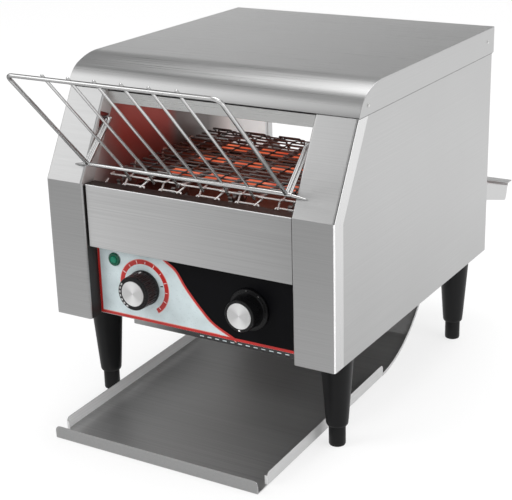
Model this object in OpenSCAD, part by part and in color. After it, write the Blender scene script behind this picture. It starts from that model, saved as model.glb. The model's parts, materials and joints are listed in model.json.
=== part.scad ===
// Counter-top conveyor toaster: front infeed rack, wire belt between quartz
// heaters, front tray under the machine and a rear slide. Millimetres.
// +Z is up and -Y faces the operator. Lengths along Y count from the front
// face of the columns; the whole model is then centred on the origin.

/* [Housing] */
// Width over the side panels
body_w = 368; // [350:1:400]
// Depth from the column faces to the back of the rear panel
body_d = 424; // [410:1:450]
// Height of the underside above the table
under_z = 116; // [105:1:140]
// Height of the upright part of the columns
knee_h = 164.3; // [160:0.1:175]
// Height of the sloped part of the columns
slope_h = 96.1; // [92:0.1:104]
// How far the slope leans back
slope_run = 54.4; // [48:0.1:58]
// Height of the hood above the top of the slope
hood_rise = 31.9; // [31:0.1:40]
// Thickness of the sheet steel
sheet = 1.2; // [0.8:0.1:1.4]
// Outside radius of the column corners
bend_r = 2.5; // [2:0.1:5]
// Width of each front column
column_w = 49.7; // [46:0.1:56]
// Depth of the column's side strip and inner return
column_lap = 20; // [16:0.5:20]

/* [Hood] */
// Large radius where the hood starts to roll down
roll_r = 90; // [70:1:100]
// Angle of the large radius
roll_a = 25; // [18:1:28]
// Small radius at the front of the hood
nose_r = 36; // [28:1:38]
// Angle of the small radius
nose_a = 45; // [40:1:48]
// Straight lip below the nose
nose_lip = 2.4; // [1:0.1:3]

/* [Front] */
// Setback of the stainless band behind the column faces
band_y = 4.5; // [2:0.1:8]
// Height of the band
band_h = 74; // [66:0.5:80]
// Gap between the top of the band and the knee
band_drop = 1.3; // [0.5:0.1:4]
// Gap between each end of the band and the columns
band_gap = 1.9; // [1:0.1:4]
// Height of both knob axes above the underside
knob_z = 44.5; // [40:0.5:46]
// Speed knob position from the middle
speed_x = -70; // [-78:0.5:-64]
// Heat selector position from the middle
selector_x = 70; // [62:0.5:78]
// Pilot lamp position from the middle
lamp_x = -110; // [-116:0.5:-106]
// Pilot lamp below the lower edge of the band
lamp_drop = 17; // [12:0.5:20]

/* [Knobs] */
// Length of a knob
knob_l = 23.5; // [18:0.5:25]
// Front radius of a knob
knob_r = 18.3; // [17:0.1:20]
// Base radius of the speed knob
speed_base_r = 21; // [20.5:0.1:24]
// Skirt radius of the heat selector
skirt_r = 24; // [22:0.5:28]
// Radius of the bright cap
cap_r = 15.4; // [12:0.1:15.8]
// Radius of the control spindles
spindle_r = 3; // [2.5:0.5:3.5]
// Radius and depth of the speed control behind the panel
speed_body = [12, 13]; // [8:1:30]
// Radius and depth of the selector switch behind the panel
selector_body = [15, 26]; // [8:1:30]
// Number of grip flutes on the speed knob
flutes = 30; // [18:1:36]

/* [Belt] */
// Pitch of the wire belt
belt_pitch = 12.7; // [11.5:0.1:12.9]
// Pitches between the two shafts
belt_span = 16; // [14:1:16]
// Teeth on each belt sprocket
belt_teeth = 12; // [8:4:12]
// Width of the square belt wire
belt_wire = 1.6; // [1.2:0.1:1.6]
// Number of spaces across the belt
belt_spaces = 10; // [8:2:12]
// Gap between the belt's edge and the column returns
belt_gap = 10.3; // [8:0.1:16]
// Top of the belt above the knee
belt_rise = 4.7; // [2:0.1:8]
// Front of the belt behind the column faces
belt_y = 24; // [22:0.5:30]
// Radius of both belt shafts
shaft_r = 5; // [4:0.5:6]

/* [Drive] */
// Pitch of the drive chain
chain_pitch = 9.525; // [8:0.005:9.6]
// Pitches between the motor and the belt shaft
chain_span = 8; // [7:1:8]
// Teeth on each chain wheel
chain_teeth = 12; // [8:4:12]
// Radius of the chain rollers
roller_r = 2.5; // [2:0.1:2.8]
// Side of the square gearbox
gearbox_w = 58; // [50:1:60]

/* [Heaters] */
// Radius of a quartz tube
tube_r = 5; // [4:0.5:5.5]
// Number of tubes under the bread
lower_tubes = 3; // [2:1:3]
// Number of tubes over the bread
upper_tubes = 4; // [3:1:5]
// First lower tube behind the column faces
lower_tube_y = 108; // [100:1:116]
// Spacing of the lower tubes
lower_tube_step = 58; // [50:1:59]
// First upper tube behind the column faces
upper_tube_y = 96; // [90:1:104]
// Spacing of the upper tubes
upper_tube_step = 70; // [60:1:72]

/* [Infeed rack] */
// Radius of the rack's frame wire
frame_r = 2.4; // [2:0.1:2.8]
// Radius of the rack's inner wires
inner_r = 1.6; // [1.2:0.1:2]
// Number of inner wires
inner_wires = 6; // [4:1:8]
// Spacing of the inner wires
inner_step = 32; // [22:1:32]
// Lean of the rack away from the machine
rack_lean = 43.8; // [40:0.1:48]
// Length of the sloping frame wires
rack_l = 172; // [150:1:190]
// Frame wires inside the column returns
rack_gap = 7.6; // [6:0.1:12]
// Height of the rack's lower wire above the knee
rack_rise = 22.8; // [20:0.1:26]
// Length of each leg from the lower wire to its hook
rack_leg = 61.8; // [56:0.1:64]
// Rise of the legs from the horizontal
leg_rise = 43; // [40:0.5:46]

/* [Tray] */
// How far the tray stands out in front of the columns
tray_front = 78.2; // [60:0.1:100]
// Gap between each side of the tray and the tunnel sides above it
tray_gap = 0.6; // [0.5:0.1:8]
// Height of the tray's sides and lip
tray_h = 15; // [10:0.5:18]
// Slope of the tray's floor
tray_tilt = 1.7; // [1:0.1:2.5]
// Where the floor starts to curve up, in front of the rear panel's back
tail_back = 207; // [200:1:224]
// Radius of the curved tail
tail_r = 150; // [140:1:155]

/* [Rear slide] */
// Slope of the slide
slide_a = 16.2; // [13:0.1:17]
// Width of the outer shelf
shelf_w = 360; // [300:1:366]
// Depth of the outer shelf
shelf_l = 91; // [70:1:110]
// Height of the shelf's side cheeks
cheek_h = 19; // [14:0.5:24]
// Height of the window sill in the rear panel above the underside
sill_h = 87; // [85:0.5:92]

/* [Legs] */
// Legs in from the side panels
leg_in = 28; // [24:0.5:32]
// Front legs behind the column faces
leg_y = 58; // [50:1:80]
// Rear legs in front of the rear panel's back
leg_back = 36; // [30:1:60]
// Top radius of a leg
leg_r = 19; // [16:0.5:20]
// Bottom radius of a leg
leg_foot_r = 12.6; // [11:0.1:14]
// Height of the screw foot below the leg
foot_h = 25; // [20:0.5:30]
// Radius of the screw foot
foot_r = 9.6; // [8:0.1:10.5]

/* [Hidden] */
$fn = 64;

seat = 0.3;       // gap between sheets that only lie against each other
run = 0.05;       // radial clearance of a shaft in its bore
slip = 0.1;       // side gap of a panel between two walls
eps = 1;          // overshoot of a cut

// Heights and the slope
knee_z = under_z + knee_h;
slope_z = knee_z + slope_h;
top_z = slope_z + hood_rise;
slope_a = atan(slope_run / slope_h);
slope_l = norm([slope_run, slope_h]);
side_x = body_w / 2;
return_x = side_x - column_w;        // tunnel face of the column returns
wall_x = return_x + sheet;           // tunnel face of the tunnel walls
floor_z = under_z + sheet;           // underside of the base plate
deck_z = floor_z + sheet;            // top of the base plate
fascia_y = column_lap;               // front of the control panel
back_y = body_d - sheet;             // inside of the rear panel
wall_end = body_d - 19;              // rear end of the tunnel walls
band_z = knee_z - band_drop - band_h; // lower edge of the band
lamp_z = band_z - lamp_drop;
wall_lap = 8;                        // the tunnel walls' lap behind the returns

// A point on the slope: distance up along it, distance in behind its face
function on_slope(up, in) = [
    sin(slope_a) * up + cos(slope_a) * in,
    knee_z + cos(slope_a) * up - sin(slope_a) * in
];
// A point at a radius and an angle from +Y in the YZ plane
function polar(c, r, a) = [c[0] + r * cos(a), c[1] + r * sin(a)];
function arc(c, r, a0, a1, n) = [for (i = [0:n]) polar(c, r, a0 + (a1 - a0) * i / n)];

// Hood
hood_x = side_x + seat + sheet;
hood_back = body_d + seat + sheet;
hood_edge = slope_z + slip;          // lower edge of the hood's side flanges
nose_y = slope_run - 1.1;            // foremost point of the roll
roll_y = nose_y + nose_lip * cos(roll_a + nose_a) + roll_r * sin(roll_a)
    + nose_r * (sin(roll_a + nose_a) - sin(roll_a));
roll_c = [roll_y, top_z - roll_r];
nose_c = polar(roll_c, roll_r - nose_r, 90 + roll_a);
nose_end = polar(nose_c, nose_r, 90 + roll_a + nose_a);

// Belt path: a stadium of chords, one pitch each
strand_step = 1.2;                   // rise of each row over its neighbour's, half of it
belt_x = return_x - belt_gap;
belt_space = 2 * belt_x / belt_spaces;
belt_r = belt_pitch / (2 * sin(180 / belt_teeth));
belt_skin = strand_step + belt_wire / 2;
shaft_z = knee_z + belt_rise - belt_skin - belt_r;
front_shaft_y = belt_y + belt_r + belt_skin;
rear_shaft_y = front_shaft_y + belt_span * belt_pitch;
belt_back = rear_shaft_y + belt_r + belt_skin;
sprocket_tip = norm([belt_r * cos(180 / belt_teeth) - belt_skin, (belt_pitch - belt_wire) / 2]) - seat;
sprocket_root = sprocket_tip - 4;
sprocket_w = 5;
sprocket_spaces = [0, 3, belt_spaces - 4, belt_spaces - 1];
bush_r = shaft_r + 3;
bush_flange = 3;

// Chain
wheel_x = wall_x + 15;
wheel_w = 4.6;
wheel_r = chain_pitch / (2 * sin(180 / chain_teeth));
wheel_tip = wheel_r * cos(180 / chain_teeth) - roller_r - seat;
link_gap = 0.3;
plate_t = 1.1;
motor_y = rear_shaft_y;
motor_z = shaft_z - chain_span * chain_pitch;
motor_shaft_r = 4;
gearbox_l = 34;
shaft_over = 8;                      // the shafts stand out past the tunnel walls

// Heaters
lower_tube_z = knee_z - 6.5;
upper_tube_z = slope_z - 12;
upper_reflector_z = slope_z - 3.4;
reflector_z = shaft_z - 9;
reflector_y = [front_shaft_y + sprocket_tip + 5, rear_shaft_y - sprocket_tip - 5];
shield_z = shaft_z - belt_r - belt_skin - 10;
shield_back = belt_back + 7;

// Window in the rear panel, rear slide and return chute
window_z = [under_z + sill_h, slope_z - 24];
slide_line = window_z[0] + seat;     // underside of the slide over the sill
shelf_y = body_d + seat;
tongue_y = belt_back + 4;
tongue_x = return_x - 4;
lip_up = 3.5;
lip_l = 15;
chute_a = 72;
chute_top = window_z[0] - 8;

// Tray, drawn in a frame that tilts about its front lower edge
tray_w = 2 * (return_x - tray_gap);
tray_bend = body_d - tail_back + tray_front;
tail_c = [tray_bend, sheet + tail_r];
tail_top = under_z - 3;              // the tail stays below the housing
tail_end = acos((tail_c[1] * cos(tray_tilt) + tray_bend * sin(tray_tilt) - tail_top) / tail_r)
    - tray_tilt;
tail_tip_y = -tray_front + tail_c[0] * cos(tray_tilt) - tail_c[1] * sin(tray_tilt)
    + tail_r * sin(tail_end + tray_tilt);

// Rack
rack_x = return_x - rack_gap;
rack_foot = [on_slope(rack_rise / cos(slope_a), 0)[0] - 7.7, knee_z + rack_rise];
rack_top = polar(rack_foot, rack_l, 90 + rack_lean);
rack_hook = polar(rack_foot, rack_leg, leg_rise);
nub_l = 5;
tail_l = 21;

// Legs
leg_x = side_x - leg_in;
washer_h = 2;
leg_top = under_z - washer_h;
foot_stem_r = 5;
foot_stem_l = 42;

// Front to back limits, which set the origin
front_most = min(-tray_front, rack_top[0] - max(frame_r, nub_l * sin(rack_lean) + inner_r * cos(rack_lean)));
lip_end = shelf_y + shelf_l * cos(slide_a) + lip_l;
shift_y = -(front_most + lip_end) / 2;

module place() {
    translate([0, shift_y, 0]) children();
}
// Draws its 2-D children in the YZ plane and extrudes them from x0 by w
module along_x(x0, w) {
    translate([x0, 0, 0]) rotate([90, 0, 90]) linear_extrude(w) children();
}
// A box between two corners
module slab(a, b) {
    translate(a) cube(b - a);
}
// A round wire between two points, which may taper to radius r2
module wire(a, b, r, r2 = 0) {
    d = b - a;
    translate(a) rotate([0, acos(d[2] / norm(d)), atan2(d[1], d[0])])
        cylinder(h = norm(d), r1 = r, r2 = r2 > 0 ? r2 : r);
}
// A cylinder along X, centred on (y, z), from x0 to x1
module bar_x(y, z, x0, x1, r) {
    translate([x0, y, z]) rotate([0, 90, 0]) cylinder(h = x1 - x0, r = r);
}
// A cylinder along Y, centred on (x, z), from y0 to y1
module bar_y(x, z, y0, y1, r) {
    translate([x, y1, z]) rotate([90, 0, 0]) cylinder(h = y1 - y0, r = r);
}
// A strip of sheet bent along X: outer radius r, from angle a0 to a1
module bent_strip(c, r, a0, a1, w) {
    translate([-w / 2, c[0], c[1]]) rotate([90, 0, 90]) rotate([0, 0, a0])
        rotate_extrude(angle = a1 - a0) translate([r - sheet, 0]) square([sheet, w]);
}
// A flat strip of sheet across the machine from point a to b, thickness on its left
module flat_strip(a, b, w) {
    d = b - a;
    translate([-w / 2, a[0], a[1]]) rotate([90, 0, 90]) rotate([0, 0, atan2(d[1], d[0])])
        cube([norm(d), sheet, w]);
}
module both_sides() {
    children();
    mirror([1, 0, 0]) children();
}
// The right-hand piece for side 1, its mirror image for side -1
module handed(side) {
    mirror([side < 0 ? 1 : 0, 0, 0]) children();
}

// ---- Housing ----

module base_plate() {
    slot_w = 5.4;
    slot_step = 10;
    chute_y = shield_back + 4;
    chute_x = return_x + seat;
    place() color("silver") difference() {
        union() {
            slab([-side_x + sheet + slip, fascia_y + sheet + slip, floor_z],
                 [side_x - sheet - slip, back_y - sheet - 2 * slip, deck_z]);
            slab([-return_x * 0.66, fascia_y + sheet + slip, under_z - 4],
                 [return_x - slip, fascia_y + 2 * sheet + slip, floor_z]);
        }
        slab([-chute_x, chute_y, floor_z - eps], [chute_x, wall_end, deck_z + eps]);
        for (i = [0:11])
            translate([i * slot_step + 2, fascia_y, under_z - 2.6]) cube([slot_w, 4, 2.2]);
        for (i = [-5:5], j = [0:3])
            slab([i * 20 - 6, 90 + j * 22, floor_z - eps], [i * 20 + 6, 94 + j * 22, deck_z + eps]);
    }
}

module side_panel(side) {
    flange = column_w - 4;
    rear_flange = 14;
    front_up = slope_l + 18;
    place() color("gainsboro") handed(side) {
        along_x(side_x - sheet, sheet) polygon([
            [column_lap, under_z],
            [body_d - sheet, under_z],
            [body_d - sheet, top_z - sheet - seat],
            [roll_y, top_z - sheet - seat],
            on_slope(front_up, column_lap),
            [column_lap, knee_z - column_lap * tan(slope_a / 2)]
        ]);
        slab([side_x - flange, column_lap, under_z], [side_x, back_y - slip, floor_z]);
        slab([side_x - rear_flange, back_y - slip - sheet, under_z], [side_x, back_y - slip, slope_z]);
    }
}

// Outline of an open channel, w wide and d deep, with round front corners
function channel(w, d, r) = concat(
    [[0, d]], arc([r, r], r, 180, 270, 6), arc([w - r, r], r, 270, 360, 6), [[w, d]]
);
function shifted(points, by) = [for (p = points) p + by];
function reversed(points) = [for (i = [len(points) - 1:-1:0]) points[i]];

// One channel swept up the front and the slope: mitred at the knee, cut level under the hood
module column(side) {
    inner_r = max(bend_r - sheet, 0.3);
    outline = concat(
        channel(column_w, column_lap, bend_r),
        reversed(shifted(channel(column_w - 2 * sheet, column_lap - sheet, inner_r), [sheet, sheet]))
    );
    n = len(outline);
    foot = [for (p = outline) [p[0], p[1], under_z]];
    knee = [for (p = outline) [p[0], p[1], knee_z - p[1] * tan(slope_a / 2)]];
    top = [for (p = outline) [
        p[0], on_slope((slope_h + sin(slope_a) * p[1]) / cos(slope_a), p[1])[0], slope_z
    ]];
    place() color("gainsboro") handed(side) difference() {
        translate([return_x, 0, 0]) polyhedron(concat(foot, knee, top), concat(
            [[for (i = [0:n - 1]) i]],
            [[for (i = [n - 1:-1:0]) 2 * n + i]],
            [for (k = [0, n], i = [0:n - 1]) [k + i, k + n + i, k + n + (i + 1) % n, k + (i + 1) % n]]
        ));
        along_x(return_x - eps, sheet + 2 * eps) hook_slot_2d();
    }
}

// Wedge slot for the rack's hook, which lies on its lower edge
module hook_slot_2d() {
    edge = frame_r + seat;
    translate(rack_hook) rotate(61.4 - slope_a) polygon([[-17.3, -edge], [8.6, -edge], [-0.7, 10.8]]);
}

module tunnel_wall(side) {
    top = upper_reflector_z + sheet;
    place() color("silver") handed(side) difference() {
        along_x(wall_x, sheet) polygon([
            [fascia_y + sheet + slip, deck_z],
            [wall_end, deck_z],
            [wall_end, top],
            [on_slope(slope_l - 4, column_lap - wall_lap)[0], top],
            on_slope(slope_l - 8, column_lap - wall_lap),
            on_slope(column_lap, column_lap - wall_lap),
            [fascia_y + sheet + slip, knee_z - 6]
        ]);
        along_x(wall_x - eps, sheet + 2 * eps) hook_slot_2d();
        for (y = [front_shaft_y, rear_shaft_y])
            bar_x(y, shaft_z, wall_x - eps, wall_x + sheet + eps, bush_r);
        for (p = concat(lower_tube_places, upper_tube_places))
            bar_x(p[0], p[1], wall_x - eps, wall_x + sheet + eps, holder_r);
        if (side > 0)
            bar_x(motor_y, motor_z, wall_x - eps, wall_x + sheet + eps, motor_shaft_r + 6);
    }
}

module hood() {
    skin_w = 2 * hood_x;
    mid = sheet / 2;
    lip_a = 90 + roll_a + nose_a;
    lip_tip = nose_end + nose_lip * [cos(lip_a + 90), sin(lip_a + 90)];
    place() color("lightgrey") {
        slab([-hood_x, roll_y, top_z - sheet], [hood_x, hood_back, top_z]);
        bent_strip(roll_c, roll_r, 90, 90 + roll_a, skin_w);
        bent_strip(nose_c, nose_r, 90 + roll_a, lip_a, skin_w);
        flat_strip(nose_end, lip_tip, skin_w);
        slab([-hood_x, hood_back - sheet, hood_edge], [hood_x, hood_back, top_z - mid]);
        both_sides() along_x(hood_x - sheet, sheet) polygon(concat(
            [[hood_back, hood_edge], [hood_back, top_z - mid]],
            arc(roll_c, roll_r - mid, 90, 90 + roll_a, 6),
            arc(nose_c, nose_r - mid, 90 + roll_a, lip_a, 9),
            [[lip_tip[0] + mid, hood_edge]]
        ));
    }
}

module rear_panel() {
    edge = side_x - sheet - slip;
    frame_in = 11;
    place() color("silver") {
        difference() {
            slab([-edge, back_y, under_z + slip], [edge, body_d, top_z - sheet - seat]);
            slab([-return_x, back_y - eps, window_z[0]], [return_x, body_d + eps, window_z[1]]);
            for (i = [-4:4], j = [0:4])
                slab([i * 24 - 9, back_y - eps, under_z + 16 + j * 9],
                     [i * 24 + 9, body_d + eps, under_z + 20 + j * 9]);
            bar_y(cable_x, cable_z, back_y - eps, body_d + eps, cable_r);
        }
        both_sides() slab([return_x, back_y - frame_in, window_z[0]], [return_x + sheet, back_y, window_z[1]]);
    }
}

module cable_bush() {
    place() color("dimgray") difference() {
        union() {
            bar_y(cable_x, cable_z, back_y - 4, body_d + 3, cable_r - run);
            bar_y(cable_x, cable_z, body_d, body_d + 3, cable_r + 3);
            bar_y(cable_x, cable_z, back_y - 4, back_y, cable_r + 2);
        }
        bar_y(cable_x, cable_z, back_y - 4 - eps, body_d + 3 + eps, cable_r - 3);
    }
}
cable_x = -side_x + 32;
cable_z = under_z + 30;
cable_r = 8;

module front_band() {
    x = return_x - band_gap;
    z1 = knee_z - band_drop;
    z0 = band_z;
    place() color("gainsboro") {
        slab([-x, band_y, z0], [x, band_y + sheet, z1]);
        slab([-x, band_y, z1 - sheet], [x, fascia_y + 2, z1]);
        slab([-x, band_y, z0], [x, fascia_y, z0 + sheet]);
    }
}

module control_panel() {
    x = return_x + 16;
    top = band_z + 12;
    place() color("whitesmoke") difference() {
        slab([-x, fascia_y, deck_z], [x, fascia_y + sheet, top]);
        for (kx = [speed_x, selector_x])
            bar_y(kx, under_z + knob_z, fascia_y - eps, fascia_y + sheet + eps, spindle_r + 2.2);
        bar_y(lamp_x, lamp_z, fascia_y - eps, fascia_y + sheet + eps, lamp_r - 2);
    }
}

module heat_shield() {
    x = wall_x - slip;
    y0 = fascia_y + sheet + slip + 4;
    place() color("silver") {
        slab([-x, y0, shield_z], [x, shield_back, shield_z + sheet]);
        slab([-x, shield_back - sheet, deck_z], [x, shield_back, shield_z + sheet]);
        slab([-x, y0, shield_z - 12], [x, y0 + sheet, shield_z + sheet]);
    }
}

// Steep plate that turns the toast forward onto the tray's tail
module return_chute() {
    w = 2 * (return_x - slip);
    foot = [tail_tip_y, tail_top + seat];
    knee = [foot[0] + (chute_top - foot[1]) / tan(chute_a), chute_top];
    place() color("silver") {
        flat_strip(knee, foot, w);
        flat_strip([back_y, chute_top], knee + [-0.3, 0], w);
    }
}

// ---- Heaters ----

holder_r = tube_r + 2.4;
lower_tube_places = [for (i = [0:lower_tubes - 1]) [lower_tube_y + i * lower_tube_step, lower_tube_z]];
upper_tube_places = [for (i = [0:upper_tubes - 1]) [upper_tube_y + i * upper_tube_step, upper_tube_z]];
tube_end = wall_x + sheet + 9;

module quartz_tubes(places) {
    place() color("orangered")
        for (p = places) bar_x(p[0], p[1], -tube_end, tube_end, tube_r);
}

// Ceramic sockets clipped through the tunnel walls
module tube_holders() {
    place() color("ivory") both_sides()
        for (p = concat(lower_tube_places, upper_tube_places)) difference() {
            union() {
                bar_x(p[0], p[1], wall_x - 1.5, tube_end + 6, holder_r - run);
                bar_x(p[0], p[1], wall_x + sheet, tube_end, holder_r + 1.6);
            }
            bar_x(p[0], p[1], wall_x - 2, tube_end + slip, tube_r + run);
        }
}

module upper_reflector() {
    x = return_x - slip;
    front = on_slope(slope_l - 18, 0)[0] + 14;
    drop = 12.7;
    place() color("gainsboro") {
        slab([-x, front, upper_reflector_z], [x, wall_end, upper_reflector_z + sheet]);
        slab([-x, front, upper_reflector_z - drop], [x, front + sheet, upper_reflector_z + sheet]);
        slab([-x, wall_end - sheet, upper_reflector_z - drop], [x, wall_end, upper_reflector_z + sheet]);
    }
}

module lower_reflector() {
    x = wall_x - slip;
    rim = 5;
    place() color("silver") {
        slab([-x, reflector_y[0], reflector_z], [x, reflector_y[1], reflector_z + sheet]);
        slab([-x, reflector_y[0], reflector_z], [x, reflector_y[0] + sheet, reflector_z + rim]);
        slab([-x, reflector_y[1] - sheet, reflector_z], [x, reflector_y[1], reflector_z + rim]);
    }
}

// ---- Belt and shafts ----

// Corner i of a belt or chain path of chords around two equal wheels. The path
// runs from the top of wheel one (at the origin) along +Y over wheel two.
function path_count(span, teeth) = 2 * span + teeth;
function path_point(i, p, span, teeth, r) =
    i <= span ? [i * p, r]
    : i < span + teeth / 2 ? polar([span * p, 0], r, 90 - (i - span) * 360 / teeth)
    : i <= 2 * span + teeth / 2 ? [(2 * span + teeth / 2 - i) * p, -r]
    : polar([0, 0], r, -90 - (i - 2 * span - teeth / 2) * 360 / teeth);

// Puts its children on chord i: local X runs along the chord, local Y outwards
module on_chord(i, p, span, teeth, r) {
    a = path_point(i, p, span, teeth, r);
    b = path_point((i + 1) % path_count(span, teeth), p, span, teeth, r);
    translate(a) rotate(atan2(b[1] - a[1], b[0] - a[0])) children();
}

// Outline of one strand: a square wave that lies in two rows of the belt, turn about
module strand_2d() {
    h = belt_wire / 2;
    last = belt_spaces * belt_space;
    function leg_x(k, s) = k * belt_space + (k % 2 == 1 ? -s : s) * h;
    function leg(k, s) = k % 2 == 1
        ? [[leg_x(k, s), s * h], [leg_x(k, s), strand_l + s * h]]
        : [[leg_x(k, s), strand_l + s * h], [leg_x(k, s), s * h]];
    above = [for (k = [1:belt_spaces - 1]) each leg(k, 1)];
    below = [for (k = [1:belt_spaces - 1]) each leg(k, -1)];
    polygon(concat(
        [[0, h]], above, [[last, strand_l + h], [last, strand_l - h]],
        [for (i = [len(below) - 1:-1:0]) below[i]], [[0, -h]]
    ));
}
strand_l = norm([belt_pitch, 2 * strand_step]);
strand_tilt = atan(2 * strand_step / belt_pitch);

module wire_belt() {
    place() color("lightslategray")
        translate([0, front_shaft_y, shaft_z]) rotate([90, 0, 90])
            for (i = [0:path_count(belt_span, belt_teeth) - 1])
                on_chord(i, belt_pitch, belt_span, belt_teeth, belt_r)
                    translate([0, strand_step]) rotate(-strand_tilt) rotate([-90, -90, 0])
                        translate([-belt_x, 0, -belt_wire / 2]) linear_extrude(belt_wire) strand_2d();
}

// A sprocket whose teeth run just inside the belt, clear of it at every angle
module belt_sprocket() {
    web_r = (sprocket_root + shaft_r) / 2;
    linear_extrude(sprocket_w) difference() {
        union() {
            circle(sprocket_root);
            for (i = [0:belt_teeth - 1]) rotate(i * 360 / belt_teeth)
                polygon([[0, -3], [sprocket_tip, -1.4], [sprocket_tip, 1.4], [0, 3]]);
        }
        circle(shaft_r + run);
        for (a = [30:60:330]) rotate(a) translate([web_r, 0]) circle(web_r * 0.24);
    }
}

module belt_sprockets(y) {
    place() color("slategray") for (k = sprocket_spaces)
        translate([-belt_x + (k + 0.5) * belt_space - sprocket_w / 2, y, shaft_z])
            rotate([90, 0, 90]) belt_sprocket();
}

module shaft(y, x1) {
    place() color("gray") bar_x(y, shaft_z, -wall_x - sheet - shaft_over, x1, shaft_r);
}

// Flanged bushes pressed into the tunnel walls
module shaft_bushes() {
    place() color("goldenrod") both_sides() for (y = [front_shaft_y, rear_shaft_y]) difference() {
        union() {
            bar_x(y, shaft_z, wall_x - 2, wall_x + sheet + bush_flange, bush_r - run);
            bar_x(y, shaft_z, wall_x + sheet, wall_x + sheet + bush_flange, bush_r + 4);
        }
        bar_x(y, shaft_z, wall_x - 3, wall_x + sheet + bush_flange + eps, shaft_r + run);
    }
}

// ---- Drive ----

module wheel(bore_r) {
    difference() {
        union() {
            translate([0, 0, -wheel_w / 2]) cylinder(h = wheel_w, r = wheel_tip);
            translate([0, 0, -wheel_w / 2 - 4]) cylinder(h = wheel_w + 8, r = bore_r + 4);
        }
        for (i = [0:chain_teeth - 1]) rotate(i * 360 / chain_teeth)
            translate([wheel_tip + 0.4, 0, -wheel_w]) cylinder(h = 2 * wheel_w, r = roller_r, $fn = 24);
        translate([0, 0, -wheel_w - 4]) cylinder(h = 2 * wheel_w + 8, r = bore_r);
    }
}

module chain_wheel() {
    place() color("dimgray") translate([wheel_x, rear_shaft_y, shaft_z]) rotate([90, 0, 90])
        wheel(shaft_r + run);
}

module motor_wheel() {
    place() color("dimgray") translate([wheel_x, motor_y, motor_z]) rotate([90, 0, 90]) {
        difference() {
            wheel(motor_shaft_r);
        }
        translate([0, 0, -wheel_x + wall_x - gearbox_l + 8])
            cylinder(h = wheel_x - wall_x + gearbox_l - 2, r = motor_shaft_r);
    }
}

// One link: inner links carry the rollers, outer links the pins
module chain_link(outer) {
    half_in = wheel_w / 2 + link_gap;
    z0 = outer ? half_in + plate_t + slip : half_in;
    pin_r = roller_r - 1;
    for (s = [-1, 1]) translate([0, 0, s > 0 ? z0 : -z0 - plate_t]) difference() {
        union() {
            for (x = [0, chain_pitch]) translate([x, 0]) cylinder(h = plate_t, r = roller_r + 1, $fn = 24);
            translate([0, -roller_r, 0]) cube([chain_pitch, 2 * roller_r, plate_t]);
        }
        if (!outer) for (x = [0, chain_pitch]) translate([x, 0, -eps])
            cylinder(h = plate_t + 2 * eps, r = pin_r + run, $fn = 24);
    }
    for (x = [0, chain_pitch]) translate([x, 0, 0]) difference() {
        cylinder(h = 2 * z0 + plate_t, r = outer ? pin_r : roller_r, center = true, $fn = 24);
        if (!outer) cylinder(h = 3 * z0, r = pin_r + run, center = true, $fn = 24);
    }
}

module drive_chain() {
    place() color("darkslategray") translate([wheel_x, motor_y, motor_z]) rotate([90, 0, 90]) rotate(90)
        for (i = [0:path_count(chain_span, chain_teeth) - 1])
            on_chord(i, chain_pitch, chain_span, chain_teeth, wheel_r) chain_link(i % 2 == 1);
}

module gear_motor() {
    x1 = wall_x;
    h = gearbox_w / 2;
    place() color("darkgray") difference() {
        union() {
            slab([x1 - gearbox_l, motor_y - h, motor_z - h], [x1, motor_y + h, motor_z + h]);
            bar_x(motor_y, motor_z, x1 - gearbox_l - 48, x1 - gearbox_l, h - 4);
            bar_x(motor_y, motor_z, x1 - gearbox_l - 54, x1 - gearbox_l - 48, 9);
        }
        bar_x(motor_y, motor_z, x1 - gearbox_l + 6, x1 + eps, motor_shaft_r + run);
    }
}

// ---- Controls ----

// A control body behind the panel, with its threaded neck and nut in front
module control_body(x, size) {
    r = size[0];
    depth = size[1];
    z = under_z + knob_z;
    place() color("darkslategray") difference() {
        union() {
            bar_y(x, z, fascia_y + sheet, fascia_y + sheet + depth, r);
            bar_y(x, z, fascia_y - 3, fascia_y + sheet + 1, spindle_r + 2.1);
            bar_y(x, z, fascia_y - 2.4, fascia_y, spindle_r + 4.5);
        }
        bar_y(x, z, fascia_y - 4, fascia_y + sheet + depth - 3, spindle_r + run);
    }
}

module spindle(x) {
    front = fascia_y - knob_l + 3.5;
    place() color("lightgray") bar_y(x, under_z + knob_z, front, fascia_y + 10, spindle_r);
}

// Knob outline, base at 0, front at knob_l, with the hollow under its rim
module knob_shape(base_r, shoulder_r) {
    rotate_extrude() polygon([
        [spindle_r + run, 4],
        [spindle_r + run, knob_l - 3.5],
        [0, knob_l - 3.5],
        [0, knob_l - 1.2],
        [cap_r + run, knob_l - 1.2],
        [cap_r + run, knob_l],
        [knob_r - 1, knob_l],
        [knob_r, knob_l - 1],
        [shoulder_r, 4],
        [base_r, 3.4],
        [base_r, 0.5],
        [base_r - 3, 0.5],
        [spindle_r + 6, 4]
    ]);
}

module knob(x, base_r, shoulder_r, grooves) {
    groove_r = 1.1;
    lean = atan((shoulder_r - knob_r) / (knob_l - 5));
    place() color([0.07, 0.07, 0.08]) translate([x, fascia_y, under_z + knob_z]) rotate([90, 0, 0])
        difference() {
            knob_shape(base_r, shoulder_r);
            if (grooves > 0) for (i = [0:grooves - 1]) rotate(i * 360 / grooves)
                translate([shoulder_r + 0.55, 0, 4.4]) rotate([0, -lean, 0])
                    cylinder(h = knob_l, r = groove_r, $fn = 16);
        }
}

module knob_cap(x) {
    place() color("whitesmoke") translate([x, fascia_y, under_z + knob_z]) rotate([90, 0, 0])
        translate([0, 0, knob_l - 1.2]) cylinder(h = 1.4, r1 = cap_r, r2 = cap_r - 0.5);
}

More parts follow.
